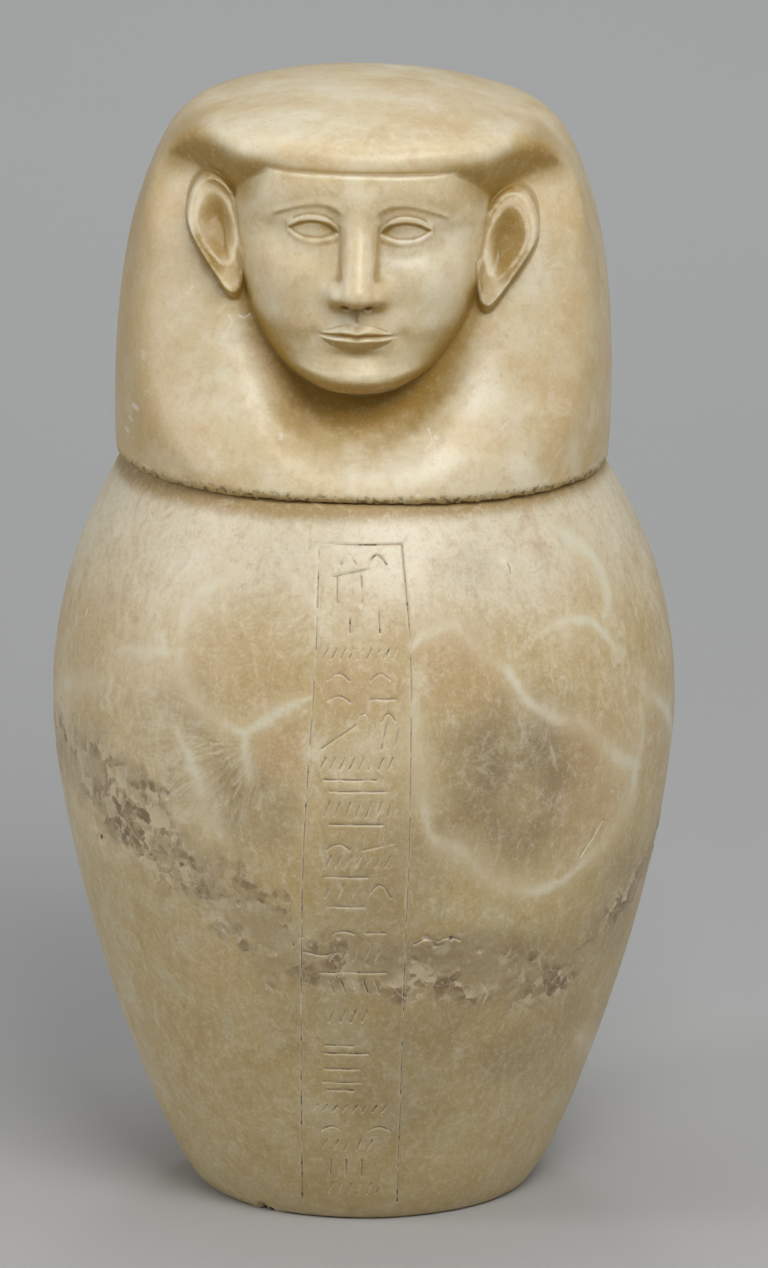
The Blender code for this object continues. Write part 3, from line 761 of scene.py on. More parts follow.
def worn_stone_tree(material):
    """Cuts lines, chips, crystals and pits into a stone, and keeps on it where they are."""
    tree = bpy.data.node_groups.new("worn stone", "GeometryNodeTree")
    tree.interface.new_socket("Geometry", in_out="OUTPUT", socket_type="NodeSocketGeometry")
    kinds = {"Geometry": "Geometry", "Lines": "Object", "Chips": "Object", "Seed": "Int"}
    for name in ("Geometry", "Lines", "Chips", "Line width", "Line depth", "Unevenness", "Crumble relief",
                 "Crumble scale", "Pit density", "Pit size", "Chip depth", "Seed"):
        tree.interface.new_socket(name, in_out="INPUT", socket_type="NodeSocket" + kinds.get(name, "Float"))
    nodes = Nodes(tree, "GeometryNodeInputPosition")
    given = nodes.add("NodeGroupInput").beside
    stone = given("Geometry")
    normal = nodes.add("GeometryNodeInputNormal")

    def shape(name):
        return nodes.add("GeometryNodeObjectInfo", None, {"Object": given(name)}, "Geometry")

    def held(name):
        return nodes.add("GeometryNodeInputNamedAttribute", {"data_type": "FLOAT"},
                         {"Name": name}, "Attribute")

    def holding(geometry, name, value):
        return nodes.add("GeometryNodeStoreNamedAttribute", {"data_type": "FLOAT", "domain": "POINT"},
                         {"Geometry": geometry, "Name": name, "Value": value})

    def sample(kind, value):
        return nodes.add("GeometryNodeSampleIndex", {"data_type": kind, "domain": "POINT"},
                         {"Geometry": pits_and_chips, "Value": value, "Index": number})

    # lines: a rounded furrow that wavers in width and skips in places
    far = nodes.add("GeometryNodeProximity", {"target_element": "EDGES"},
                    {"Target": shape("Lines")}, "Distance")
    width = given("Line width") * (0.55 + 0.9 * nodes.noise(420.0, 1.0))
    cut = (far / width).rise(1.25, 0.15) * (0.35 + 0.9 * nodes.noise(150.0, 1.0).rise(0.3, 0.55))

    # pits scattered where the stone crumbles, with the chips that have their own places
    crumble = held("crumble")
    scattered = nodes.add("GeometryNodeDistributePointsOnFaces", None, {
        "Mesh": stone, "Density": crumble * given("Pit density"), "Seed": given("Seed")}, "Points")
    sizes = nodes.add("FunctionNodeRandomValue", {"data_type": "FLOAT"}, {
        "Min_001": 0.35, "Max_001": 1.0, "Seed": given("Seed")}, "Value_001")
    sized = holding(scattered, "size", sizes * sizes * given("Pit size"))
    loose = nodes.add("GeometryNodeMeshToPoints", {"mode": "VERTICES"}, {"Mesh": shape("Chips")})
    pits_and_chips = nodes.add("GeometryNodeJoinGeometry")
    for cloud in (sized, loose):
        tree.links.new(cloud.socket, pits_and_chips.socket.node.inputs[0])
    number = nodes.add("GeometryNodeSampleNearest", {"domain": "POINT"},
                       {"Geometry": pits_and_chips, "Sample Position": nodes.place})
    near_size = sample("FLOAT", held("size"))
    apart = nodes.place.vector("DISTANCE", sample("FLOAT_VECTOR", nodes.place), output="Value")
    pit = (apart / (near_size * (0.7 + 0.6 * nodes.noise(500.0, 1.0)))).rise(1.0, 0.25)

    # broken crystals stand at different heights
    level = nodes.cells(given("Crumble scale"), "Color").axis("X") - 0.6
    drop = ((nodes.noise(26.0) - 0.5) * 2.0 * given("Unevenness") + level * crumble * given("Crumble relief")
            - cut * given("Line depth") - pit * near_size * given("Chip depth"))
    for name, value in (("cut", cut), ("pit", pit), ("up", normal.axis("Z"))):
        stone = holding(stone, name, value)
    offset = normal.vector("SCALE", Scale=drop)
    carved = nodes.add("GeometryNodeSetPosition", None, {"Geometry": stone, "Offset": offset})
    whole = nodes.add("GeometryNodeRealizeInstances", None, {"Geometry": carved})
    dressed = nodes.add("GeometryNodeSetMaterial", None, {"Geometry": whole, "Material": material})
    end = tree.nodes.new("NodeGroupOutput")
    tree.links.new(dressed.socket, end.inputs["Geometry"])
    return tree


def carve_wear(piece, material, lines, chips, settings, **others):
    """Run the carving over a piece, keep the result as its plain mesh, and drop the helpers."""
    inputs = {"lines": lines, "chips": chips, **others}
    tree = worn_stone_tree(material)
    modifier = piece.modifiers.new("worn stone", "NODES")
    modifier.node_group = tree
    for socket in tree.interface.items_tree:
        if socket.in_out == "INPUT" and socket.name != "Geometry":
            name = socket.name.lower().replace(" ", "_")
            modifier[socket.identifier] = inputs[name] if name in inputs else getattr(settings, name)
    bpy.context.view_layer.update()
    evaluated = piece.evaluated_get(bpy.context.evaluated_depsgraph_get())
    mesh = bpy.data.meshes.new_from_object(evaluated)
    old = piece.data
    piece.modifiers.remove(modifier)
    piece.data = mesh
    bpy.data.meshes.remove(old)
    for helper in (lines, chips):
        bpy.data.objects.remove(helper)
    piece.data.shade_smooth()


# ---- head lid -------------------------------------------------------------------------

def wig(x, y, z):
    """Smooth bag wig: rounded-square plan, domed crown, full over the brow."""
    front = step(0.02, -0.06, y)
    fullness = step(0.07, 0.142, z)
    deep = 0.98 * (1 + fullness * (0.19 * front + 0.02 * (1 - front)))
    square = 2.15 + 0.7 * front * step(0.085, 0.132, z)
    plan = (np.abs(x) ** square + np.abs(y / deep) ** square) ** (1 / square)
    side = WIG_HALF_WIDTH - 1.02 * (z - WIG_WIDEST) ** 2 - 64 * np.maximum(z - WIG_WIDEST, 0) ** 4
    dome = LID_HEIGHT - 0.0162 * (plan / 0.08) ** 2
    return soft_max(plan - side, z - dome, 0.009)


def wig_front(x, z):
    """Depth of the carved front: lappets, chest, hollow of the neck, and the cap rolling out over them."""
    across = np.abs(x)
    lappets = along(LAPPET_DEPTH, z) - along(LAPPET_SLOPE, z) * soft_max(across - LAPPET_TURN, 0.0, 0.02)
    neck = NECK_DEEP * np.exp(-(across / along(NECK_HALF_WIDTH, z)) ** 4) * step(0.006, 0.042, z)
    brim = along(BRIM_DEPTH, across) + along(BRIM_SLOPE, across) * (z - along(BRIM_HEIGHT, across))
    return soft_max(lappets - neck, brim, 0.0008 + 0.004 * step(0.048, 0.062, across))


def modelling(x, z):
    """The face's broad forms over its plain rounded mask."""
    across = np.abs(x)
    relief = sum(out * MM * bell(across, place * MM, spread * MM) * bell(z, line + over * MM, tall * MM)
                 for out, place, spread, line, over, tall in FACE_FORMS)
    channel = step(MOUTH + 0.004, MOUTH + 0.0062, z) * step(NOSE, NOSE - 0.0025, z)
    return relief - 0.0007 * bell(across, 0.0, 0.002) * channel


def lips(x, z):
    """Full, level lips that meet in a fine line."""
    share = np.clip(np.abs(x) / MOUTH_HALF, 0, 1)
    line = MOUTH - 0.0003 + 0.0002 * bell(share, 0.35, 0.2) - 0.0003 * bell(share, 0, 0.12)
    top = line + 0.0044 * (1 - share ** 1.9) ** 0.95 * (1 - 0.13 * bell(share, 0, 0.13)) + 0.0001
    low = line - 0.0052 * (1 - share ** 2.3) ** 0.95 - 0.0001
    up = np.clip((z - line) / (top - line), 0, 1.3)
    down = np.clip((line - z) / (line - low), 0, 1.3)
    swell = np.where(z > line, 0.0016 * step(1.25, 0.4, up), 0.002 * step(1.3, 0.35, down))
    reach = np.where(z > line, z - line, line - z)
    swell = swell * (0.35 + 0.65 * step(0.0, 0.0016, reach)) * (1 - share ** 3.0)
    return swell - 0.0006 * bell(z, line, 0.0007) * step(MOUTH_HALF + 0.0015, MOUTH_HALF - 0.003, np.abs(x))


def eyes(x, z):
    """Almond eyes: a ball between two narrow lids, with a soft fold over them."""
    across = np.abs(x) - EYE_SPACING
    share = np.clip(across / EYE_HALF, -1.0, 1.0)
    upper = EYE + 0.0044 * (1 - np.abs(share + 0.1 * (1 - share * share)) ** 2.2) ** 0.9 + 0.0004 * share
    lower = EYE - 0.0033 * (1 - np.abs(share - 0.06 * (1 - share * share)) ** 2.3) ** 0.95 + 0.0004 * share
    wide = np.abs(across / EYE_HALF)
    far = (across / 0.0178) ** 2 + ((z - EYE - 0.0004) / 0.0124) ** 2
    ball = 0.004 * np.clip(1 - far, 0, 1) ** 2
    near = step(1.14, 0.96, wide)
    over, under = z - upper, lower - z
    lids = (0.0007 * step(-0.0002, 0.0004, over) * step(0.0052, 0.0012, over)
            + 0.0005 * step(-0.0002, 0.0004, under) * step(0.0036, 0.0009, under))
    fold = 0.00045 * bell(over, 0.0031, 0.0009) * step(1.05, 0.7, wide)
    within = step(0.0003, -0.001, over) * step(0.0003, -0.001, under) * near
    return ball - 0.0004 * within + near * lids - fold


def brows(x, z):
    """Long low ridges over the eyes."""
    across = np.abs(x)
    share = np.clip((across - 0.007) / 0.03, 0, 1)
    arc = BROW - 0.0006 + 0.0046 * np.sin(np.pi * share ** 0.75) - 0.0026 * share
    return (0.0008 * (1 - 0.4 * share) * bell(z, arc, 0.002 * (1 - 0.3 * share))
            * step(0.004, 0.0085, across) * step(0.0385, 0.033, across))


def nose(x, y, z):
    """Ridge from between the brows to a rounded tip, with wings, cut level below."""
    top, tip = np.array((0, -0.0872, EYE + 0.0095)), np.array((0, -0.1022, NOSE + 0.0056))
    ridge = tip - top
    t = ((x - top[0]) * ridge[0] + (y - top[1]) * ridge[1] + (z - top[2]) * ridge[2]) / (ridge @ ridge)
    t = np.clip(t, 0.0, 1.0)
    away = np.sqrt((x - top[0] - t * ridge[0]) ** 2 + (y - top[1] - t * ridge[1]) ** 2
                   + (z - top[2] - t * ridge[2]) ** 2)
    bridge = away - (0.005 + 0.0015 * t)
    wings = egg(np.abs(x), y, z, (0.0068, -0.0962, NOSE + 0.0042), (0.0046, 0.007, 0.0046))
    return soft_max(soft_min(bridge, wings, 0.004), (NOSE - 0.0006) - z, 0.0026)


def nostrils(x, y, z):
    """Field of the two shallow holes."""
    return egg(np.abs(x), y, z, (0.0045, -0.0993, NOSE - 0.0006), (0.0019, 0.003, 0.0018))


def face(x, y, z):
    """Field of the face: a rounded mask, its relief, and the nose."""
    width = along(FACE_WIDTH, z - CHIN)
    depth = along(FACE_DEPTH, z - CHIN) - MASK_BACK
    forward = np.maximum(-y - MASK_BACK, 0)
    mask = ((np.abs(x / width) ** 2.3 + (forward / depth) ** 2.3) ** (1 / 2.3) - 1) * np.minimum(width, depth)
    relief = modelling(x, z) + lips(x, z) + eyes(x, z) + brows(x, z)
    mask = mask - relief * step(-0.06, -0.078, y)
    solid = soft_max(soft_min(mask, nose(x, y, z), 0.0098), -nostrils(x, y, z), 0.0012)
    return soft_max(solid, z - WIG_LINE - 0.0004, 0.0006)


def ears(x, z):
    """Height of the ears over the stone behind them: flat rim, scooped shell, flap at the cheek, lobe."""
    across, up = np.abs(x) - EAR_X, z - EAR_Z + EAR_DROP * (x > 0)
    t = up / EAR_HALF_HEIGHT
    taper = step(0.35, -1.0, t)
    across = across - 0.1 * up + 0.0054 * taper
    half_width = EAR_HALF_WIDTH * (1 - 0.44 * taper)
    far = np.sqrt((across / half_width) ** 2 + t ** 2)
    inside = (1 - far) * half_width
    body = (0.004 + 0.0034 * step(-0.01, 0.01, across)) * step(-0.0006, 0.0008, inside)
    rim = 0.00045 * bell(inside, 0.0009, 0.0006)
    shell_depth = inside - 0.0034 - 0.0012 * step(0.2, -0.4, t)
    scoop = (0.0046 * step(-0.0005, 0.006, shell_depth)
             * (0.55 + 0.45 * step(0.004, -0.004, across)) * step(-0.85, -0.35, t))
    fold = 0.0002 * bell(shell_depth, 0.0002, 0.0008) * step(-0.75, -0.4, t)
    tragus = 0.003 * np.exp(-(((across + 0.0098) / 0.0026) ** 2 + ((up + 0.0065) / 0.0062) ** 2))
    return body + (rim + fold + tragus - scoop) * step(0, 0.001, inside)


def head(x, y, z):
    """Distance-like field of the whole head, negative inside the stone."""
    hair = wig(x, y, z)
    corner = 0.008 + 0.002 * step(0.11, 0.09, z) + 0.006 * step(0.118, 0.132, z)
    carved = soft_max(hair, -y - wig_front(x, z) - ears(x, z), corner)
    return np.where(y < 0, soft_min(carved, face(x, y, z), 0.0012), hair)


def sight_lines():
    """Feet and headings of the level lines round the head, from the nose by way of +X.

    The front is reached straight ahead, so the face keeps its detail, and the
    sides and back are reached from two centres behind the ears.
    """
    ahead = np.concatenate([np.arange(0, 0.03, 0.00052), np.arange(0.03, 0.062, 0.00062),
                            np.arange(0.062, FRONT_HALF, 0.0008)])
    turn = np.arange(BACK_COLUMNS + 1) / BACK_COLUMNS
    feet = np.concatenate([ahead, FRONT_HALF * (1 - turn)])
    angle = np.concatenate([np.full(len(ahead), -math.pi / 2), math.pi * (turn - 0.5)])
    feet = np.concatenate([feet, -feet[-2:0:-1]])
    angle = np.concatenate([angle, math.pi - angle[-2:0:-1]])
    return feet, np.column_stack([np.cos(angle), np.sin(angle)])


def reach_surface(feet, headings, levels, rises):
    """Points of the head on lines that rise at an angle: walk in from outside, then close in."""
    flat, up = np.cos(rises), np.sin(rises)

    def at(reach):
        ahead, aside = headings[..., 0] * flat, headings[..., 1] * flat
        return feet * flat + reach * ahead, reach * aside, levels + reach * up

    reach = np.full(np.broadcast(feet, levels).shape, REACH_START)
    for _ in range(PACES):
        reach = np.where(head(*at(reach)) > 0, reach - REACH_PACE, reach)
    inner, outer = reach, reach + REACH_PACE
    for _ in range(CLOSINGS):
        middle = (inner + outer) / 2
        clear = head(*at(middle)) > 0
        inner, outer = np.where(clear, inner, middle), np.where(clear, middle, outer)
    return np.stack(at(inner), axis=-1)


def head_surface():
    """Rings of points from the crown down to the lower edge."""
    feet, headings = sight_lines()
    crown = reach_surface(feet[None], headings[None], FAN_HEIGHT, CROWN_RISES[:, None])
    sides = reach_surface(feet[None], headings[None], SIDE_LEVELS[:, None], np.zeros((len(SIDE_LEVELS), 1)))
    return np.concatenate([crown, sides])


def eased(surface, times):
    """The surface with its detail smoothed away."""
    soft = surface.copy()
    for _ in range(times):
        padded = np.concatenate([soft[:1], soft, soft[-1:]])
        soft = (2 * soft + padded[:-2] + padded[2:]) / 4
        soft = (2 * soft + np.roll(soft, 1, axis=1) + np.roll(soft, -1, axis=1)) / 4
    return soft


def grid_normals(surface):
    """Outward direction at each point of the rings."""
    across = np.roll(surface, -1, axis=1) - np.roll(surface, 1, axis=1)
    normals = np.cross(np.gradient(surface, axis=0), across)
    return normals / (np.linalg.norm(normals, axis=2, keepdims=True) + 1e-12)


def sunkenness(surface, times):
    """How far each point lies below the smoothed surface, in metres."""
    return ((eased(surface, times) - surface) * grid_normals(surface)).sum(axis=2)


def hidden_sky(surface, every=4, rays=90, reach=0.055):
    """Share of its sky that the head itself hides from each point, found at every few points."""
    half = surface[::2, ::2]
    index = np.arange(half.shape[0] * half.shape[1]).reshape(half.shape[:2])
    after = np.roll(index, -1, axis=1)
    quads = np.stack([index[:-1], index[1:], after[1:], after[:-1]], axis=-1).reshape(-1, 4)
    tree = BVHTree.FromPolygons(half.reshape(-1, 3).tolist(), quads.tolist())
    count = np.arange(rays) + 0.5
    polar, turn = np.arccos(1 - 2 * count / rays), math.pi * (1 + math.sqrt(5)) * count
    sky = np.column_stack([np.cos(turn) * np.sin(polar), np.sin(turn) * np.sin(polar), np.cos(polar)])
    places, normals = surface[::every, ::every], grid_normals(surface)[::every, ::every]
    hidden = np.zeros(places.shape[:2])
    for at in np.ndindex(hidden.shape):
        if places[at][1] < 0.01:
            weights = sky @ normals[at]
            start = Vector(places[at] + 0.0006 * normals[at])
            seen = np.flatnonzero(weights > 0.12)
            stopped = [tree.ray_cast(start, sky[ray], reach)[0] is not None for ray in seen]
            hidden[at] = (weights[seen] * stopped).sum() / weights[seen].sum()
    rows, columns = np.arange(surface.shape[0]) / every, np.arange(surface.shape[1]) / every
    wrapped = np.column_stack([hidden, hidden[:, :1]])
    tall = np.stack([np.interp(rows, np.arange(len(hidden)), column) for column in wrapped.T], axis=1)
    return np.stack([np.interp(columns, np.arange(wrapped.shape[1]), row) for row in tall])


def brim_shade(surface):
    """Painted shade under the wig's roll, deepest above the ears, inside the ears, and down the throat."""
    across, y, z = np.abs(surface[..., 0]), surface[..., 1], surface[..., 2]
    lift = z - along(BRIM_HEIGHT, across)
    roll = (0.46 * step(-0.018, 0.003, lift) * step(0.026, -0.001, lift) * step(0.018, 0.064, across)
            * step(0.094, 0.07, across))
    shell = ((across - 0.0615) / 0.0085) ** 2 + ((z - EAR_Z) / 0.019) ** 2
    throat = 0.34 * bell(across, 0.0, 0.026) * step(0.01, 0.036, z) * step(0.05, 0.042, z)
    return np.maximum(np.maximum(roll, throat), 0.38 * step(1.6, 0.2, shell)) * step(0.0, -0.03, y)


def lid_mesh():
    """The head, its lower edge and its plug as one closed stone, in the lid's own frame."""
    surface = head_surface()
    around = surface.shape[1]
    lowest = surface[-1]
    inward = 1 - LOWER_EDGE / np.linalg.norm(lowest[:, :2], axis=1, keepdims=True)
    edge = np.column_stack([lowest[:, :2] * inward, np.zeros(around)])
    rounding = (lowest + edge) / 2 + 0.2 * (lowest - edge) * (1, 1, -1)
    angle = np.arctan2(edge[:, 1], edge[:, 0])
    plug = np.column_stack([PLUG_RADIUS * np.cos(angle), PLUG_RADIUS * np.sin(angle), np.zeros(around)])
    seat = [edge + (plug - edge) * share for share in (0.06, 0.2, 0.6)]
    foot = plug * PLUG_TAPER - (0, 0, PLUG_DEPTH)
    below = [rounding, edge, *seat, plug, plug - (0, 0, PLUG_DEPTH - PLUG_EDGE), foot, foot * (0.5, 0.5, 1)]
    mesh = skin("head lid", [*surface, *below], (0, 0, LID_HEIGHT), (0, 0, -PLUG_DEPTH))

    spare = len(below) * around + 2
    # Painted shade: the share of sky that the head hides from each point, with the painted shade under the
    # wig's roll, kept as hollow for the colour.
    broad = np.concatenate([np.maximum(hidden_sky(surface), brim_shade(surface)).ravel(), np.zeros(spare)])
    # Crease keeps how far a point sinks below its neighbours, for painted shade in fine creases; ridge keeps
    # the knocked edges.
    fine = np.concatenate([sunkenness(surface, 3).ravel(), np.zeros(spare)])
    x, y, z = points_of(mesh).T
    detailed = (step(0.0, -0.03, y) * step(FAN_HEIGHT + 0.012, FAN_HEIGHT, z)
                * step(FRONT_HALF - 0.001, FRONT_HALF - 0.008, np.abs(x)))
    keep(mesh, "hollow", broad)
    keep(mesh, "crease", np.clip(fine, 0, 1) * detailed)
    keep(mesh, "ridge", np.clip(-fine, 0, 1) * detailed)
    keep(mesh, "crumble", step(0.0052, 0.0018, z) * step(-0.004, -0.001, z) * step(0.08, 0.092, np.hypot(x, y)))
    return mesh


def on_face(points):
    """Points of the head's front, from x and height."""
    x, z = np.array(points, float).T
    ahead = np.broadcast_to((0.0, -1.0), (len(x), 2))
    return reach_surface(x, ahead, z, np.zeros(len(x)))


def lid_place():
    """From the lid's own frame to its seat on the jar's leaning rim."""
    return (Matrix.Translation((HEAD_SHIFT, 0, RIM_HEIGHT)) @ Matrix.Rotation(RIM_TILT, 4, "Y")
            @ Matrix.Translation((0, 0, SEAT_GAP)) @ Matrix.Rotation(HEAD_TURN, 4, "Z"))


# ---- finishes -----------------------------------------------------------------------

def set_glow(stone, weight, scale):
    """Light sinks a few millimetres into the stone and comes out warmer."""
    values = {"Subsurface Weight": weight, "Subsurface Radius": (1.0, 0.75, 0.38), "Subsurface Scale": scale,
              "IOR": 1.5, "Specular IOR Level": 0.7}
    for name, value in values.items():
        stone.shader.inputs[name].default_value = value


def lay_grain(stone, strength):
    """Sugary grain that all of this stone has: clear and milky crystals, a millimetre or less across."""
    coarse = stone.noise(300.0, 4.0, 0.85)
    fine = stone.noise(1000.0, 2.0, 0.8)
    stone.mottle(coarse, (0.5, 0.66, 0.42 * strength, (248, 240, 220)),
                 (0.5, 0.34, 0.36 * strength, (150, 116, 66)))
    stone.mottle(fine, (0.55, 0.72, 0.34 * strength, (252, 246, 230)),
                 (0.45, 0.28, 0.26 * strength, (132, 104, 62)))
    return coarse, fine


def under_side(stone, wander):
    """How far the stone faces down, 0 to 1, for painted shade on down-facing surfaces."""
    return (stone.held("up") + (wander - 0.5) * 0.3).rise(0.15, -0.8)


def jar_finish(colours):
    """Banded travertine: round warm growths in milky veins, fibres, and a band of open crystals."""
    stone = Stone("travertine, jar", colours.tan)
    height = stone.place.axis("Z")
    wander = stone.noise(34.0, 4.0, 0.6)
    fine_wander = stone.noise(140.0, 3.0, 0.65)
    cloud = stone.noise(15.0, 5.0, 0.6)
    blotch = stone.noise(52.0, 5.0, 0.7, 0.4)
    low = (height + (wander - 0.5) * 0.08).rise(0.2, 0.13)
    stone.lay(cloud.rise(0.42, 0.62) * (0.75 - 0.4 * low), colours.cream)
    stone.lay(low * 0.7, colours.deep)
    stone.tint((height + (wander - 0.5) * 0.05).rise(0.255, 0.3) * 0.66, 238, 230, 208)
    stone.mottle(blotch, (0.52, 0.68, 0.5 - 0.2 * low, (240, 230, 204)), (0.48, 0.32, 0.34, (194, 160, 110)))

    # feathery swirls low down, where the bands are cut along
    swirl = stone.noise(1.0, 5.0, 0.62, 1.6, stone.stretched((30.0, 30.0, 24.0), (0.4, 0.3, 0.0)))
    streak = stone.noise(1.0, 4.0, 0.7, 0.4, stone.stretched((150.0, 150.0, 30.0), (0.12, 0.2, 0.0)))
    stone.mottle(swirl, (0.5, 0.6, low * 0.55, (208, 200, 166)), (0.47, 0.36, low * 0.5, (184, 154, 94)))
    stone.mottle(streak, (0.54, 0.72, low * 0.35, (224, 210, 172)), (0.46, 0.3, low * 0.22, (160, 130, 76)))

    dark = stone.held("dark") * (0.62 + 0.55 * wander.rise(0.34, 0.62))
    stone.tint(dark * 0.78, 148, 128, 90)
    warm = (stone.held("warm") + (wander - 0.5) * 0.7).rise(0.05, 0.95)
    stone.lay(warm * (0.4 + 0.45 * blotch), colours.warm)
    # Painted shade: deep golden where the jar faces down, and amber just below the lid's edge.
    stone.lay(under_side(stone, wander) * 0.6, colours.deep)
    stone.lay(height.rise(RIM_HEIGHT - 0.009, RIM_HEIGHT - 0.003) * 0.75, colours.amber_shade)
    mottle = stone.noise(1.0, 4.0, 0.72, 0.8, stone.stretched((170.0, 170.0, 85.0), (0.35, 0.1, 0.0)))
    stone.mottle(mottle, (0.52, 0.68, 0.34 - 0.16 * low, (240, 231, 206)),
                 (0.47, 0.36, 0.24 - 0.1 * low, (184, 154, 106)))
    coarse, fine = lay_grain(stone, 0.48)

    # grey fibres that fan out from one centre
    from_centre = stone.place.vector("SUBTRACT", FIBRE_CENTRE)
    reach = from_centre.vector("LENGTH", output="Value")
    rays = from_centre.vector("NORMALIZE").vector("SCALE", Scale=12.0 + reach * 80.0)
    fibres = stone.noise(1.0, 4.0, 0.75, 0.5, rays)
    fibrous = stone.held("fibre") * (0.25 + 1.1 * wander)
    stone.tint(fibrous * 0.34, 172, 156, 120)
    stone.mottle(fibres, (0.5, 0.6, fibrous * 0.55, (226, 218, 192)),
                 (0.49, 0.38, fibrous * 0.36, (132, 110, 76)))

    swelling = 0.35 + 1.3 * stone.noise(24.0, 2.0)
    vein_edge = stone.held("vein") * swelling + (wander - 0.5) * 1.8 + (fine_wander - 0.5) * 1.6
    patchy = 0.2 + 1.0 * stone.noise(27.0, 2.0).rise(0.38, 0.6)
    stone.lay(vein_edge.rise(4.2, 0.4) * 0.42, colours.cream)
    stone.lay(vein_edge.rise(1.6, -0.3) * patchy * 0.8, colours.vein)

    # open crystals: clear grey-brown cells with pale seams
    bent = stone.bent(260.0, 0.0022)
    cell = stone.cells(CRYSTAL_SCALE, "Color", place=bent).axis("X")
    facet = stone.cells(2.2 * CRYSTAL_SCALE, "Color", place=bent).axis("Y")
    seam = stone.cells(CRYSTAL_SCALE, "Distance", "DISTANCE_TO_EDGE", bent)
    tint = cell + (facet - 0.5) * 0.5 + (fine_wander - 0.5) * 0.5
    across = stone.held("crystal")
    ragged = (wander - 0.5) * 2.6 + (fine_wander - 0.5) * 1.2
    band = (across.math("ABSOLUTE", across) + ragged).rise(1.25, 0.35)
    broken = band * stone.noise(30.0, 3.0, 0.65).rise(0.44, 0.6)
    stone.tint(band * 0.5, 166, 148, 112)
    stone.tint(band * stone.noise(95.0, 4.0, 0.7).rise(0.52, 0.66) * 0.5, 212, 202, 172)
    stone.lay(broken * tint.rise(0.44, 0.58) * 0.75, colours.crystal)
    stone.mottle(tint, (0.72, 0.9, broken * 0.55, (112, 84, 50)), (0.34, 0.2, broken * 0.75, (222, 206, 170)))
    stone.mottle(seam, (0.06, 0.01, broken * 0.4, (222, 208, 178)))

    # cuts: bruised pale edges, a brown floor painted as shade inside the furrow, dark grains caught in them,
    # more of these at top and foot
    cut, pit = stone.held("cut"), stone.held("pit")
    caught = stone.noise(300.0, 2.0, 0.6)
    ends = height.rise(0.15, 0.08) * 0.9 + height.rise(0.235, 0.275) * 0.7
    dirty = (caught + ends * 0.1).rise(0.6, 0.76) * 0.8
    stone.mottle(cut, (0.05, 0.5, 0.46, (244, 236, 212)), (0.5, 0.95, 0.2 + 0.5 * caught, (150, 122, 72)))
    stone.lay(cut.rise(0.45, 0.95) * dirty, colours.dirt)
    stone.tint(pit.rise(0.1, 0.55) * 0.4, 232, 222, 196)
    stone.lay(pit.rise(0.45, 0.95) * caught.rise(0.48, 0.6), colours.dirt)

    roughness = 0.34 + coarse * 0.16 + broken * (0.08 - tint * 0.16) + cut * 0.2
    relief = coarse * 0.5 + fine * 0.35 + fibres * fibrous * 0.4 + broken * tint * 1.6 + caught * cut * 0.5
    set_glow(stone, *JAR_GLOW)
    return stone.finish(roughness, relief, JAR_BUMP)


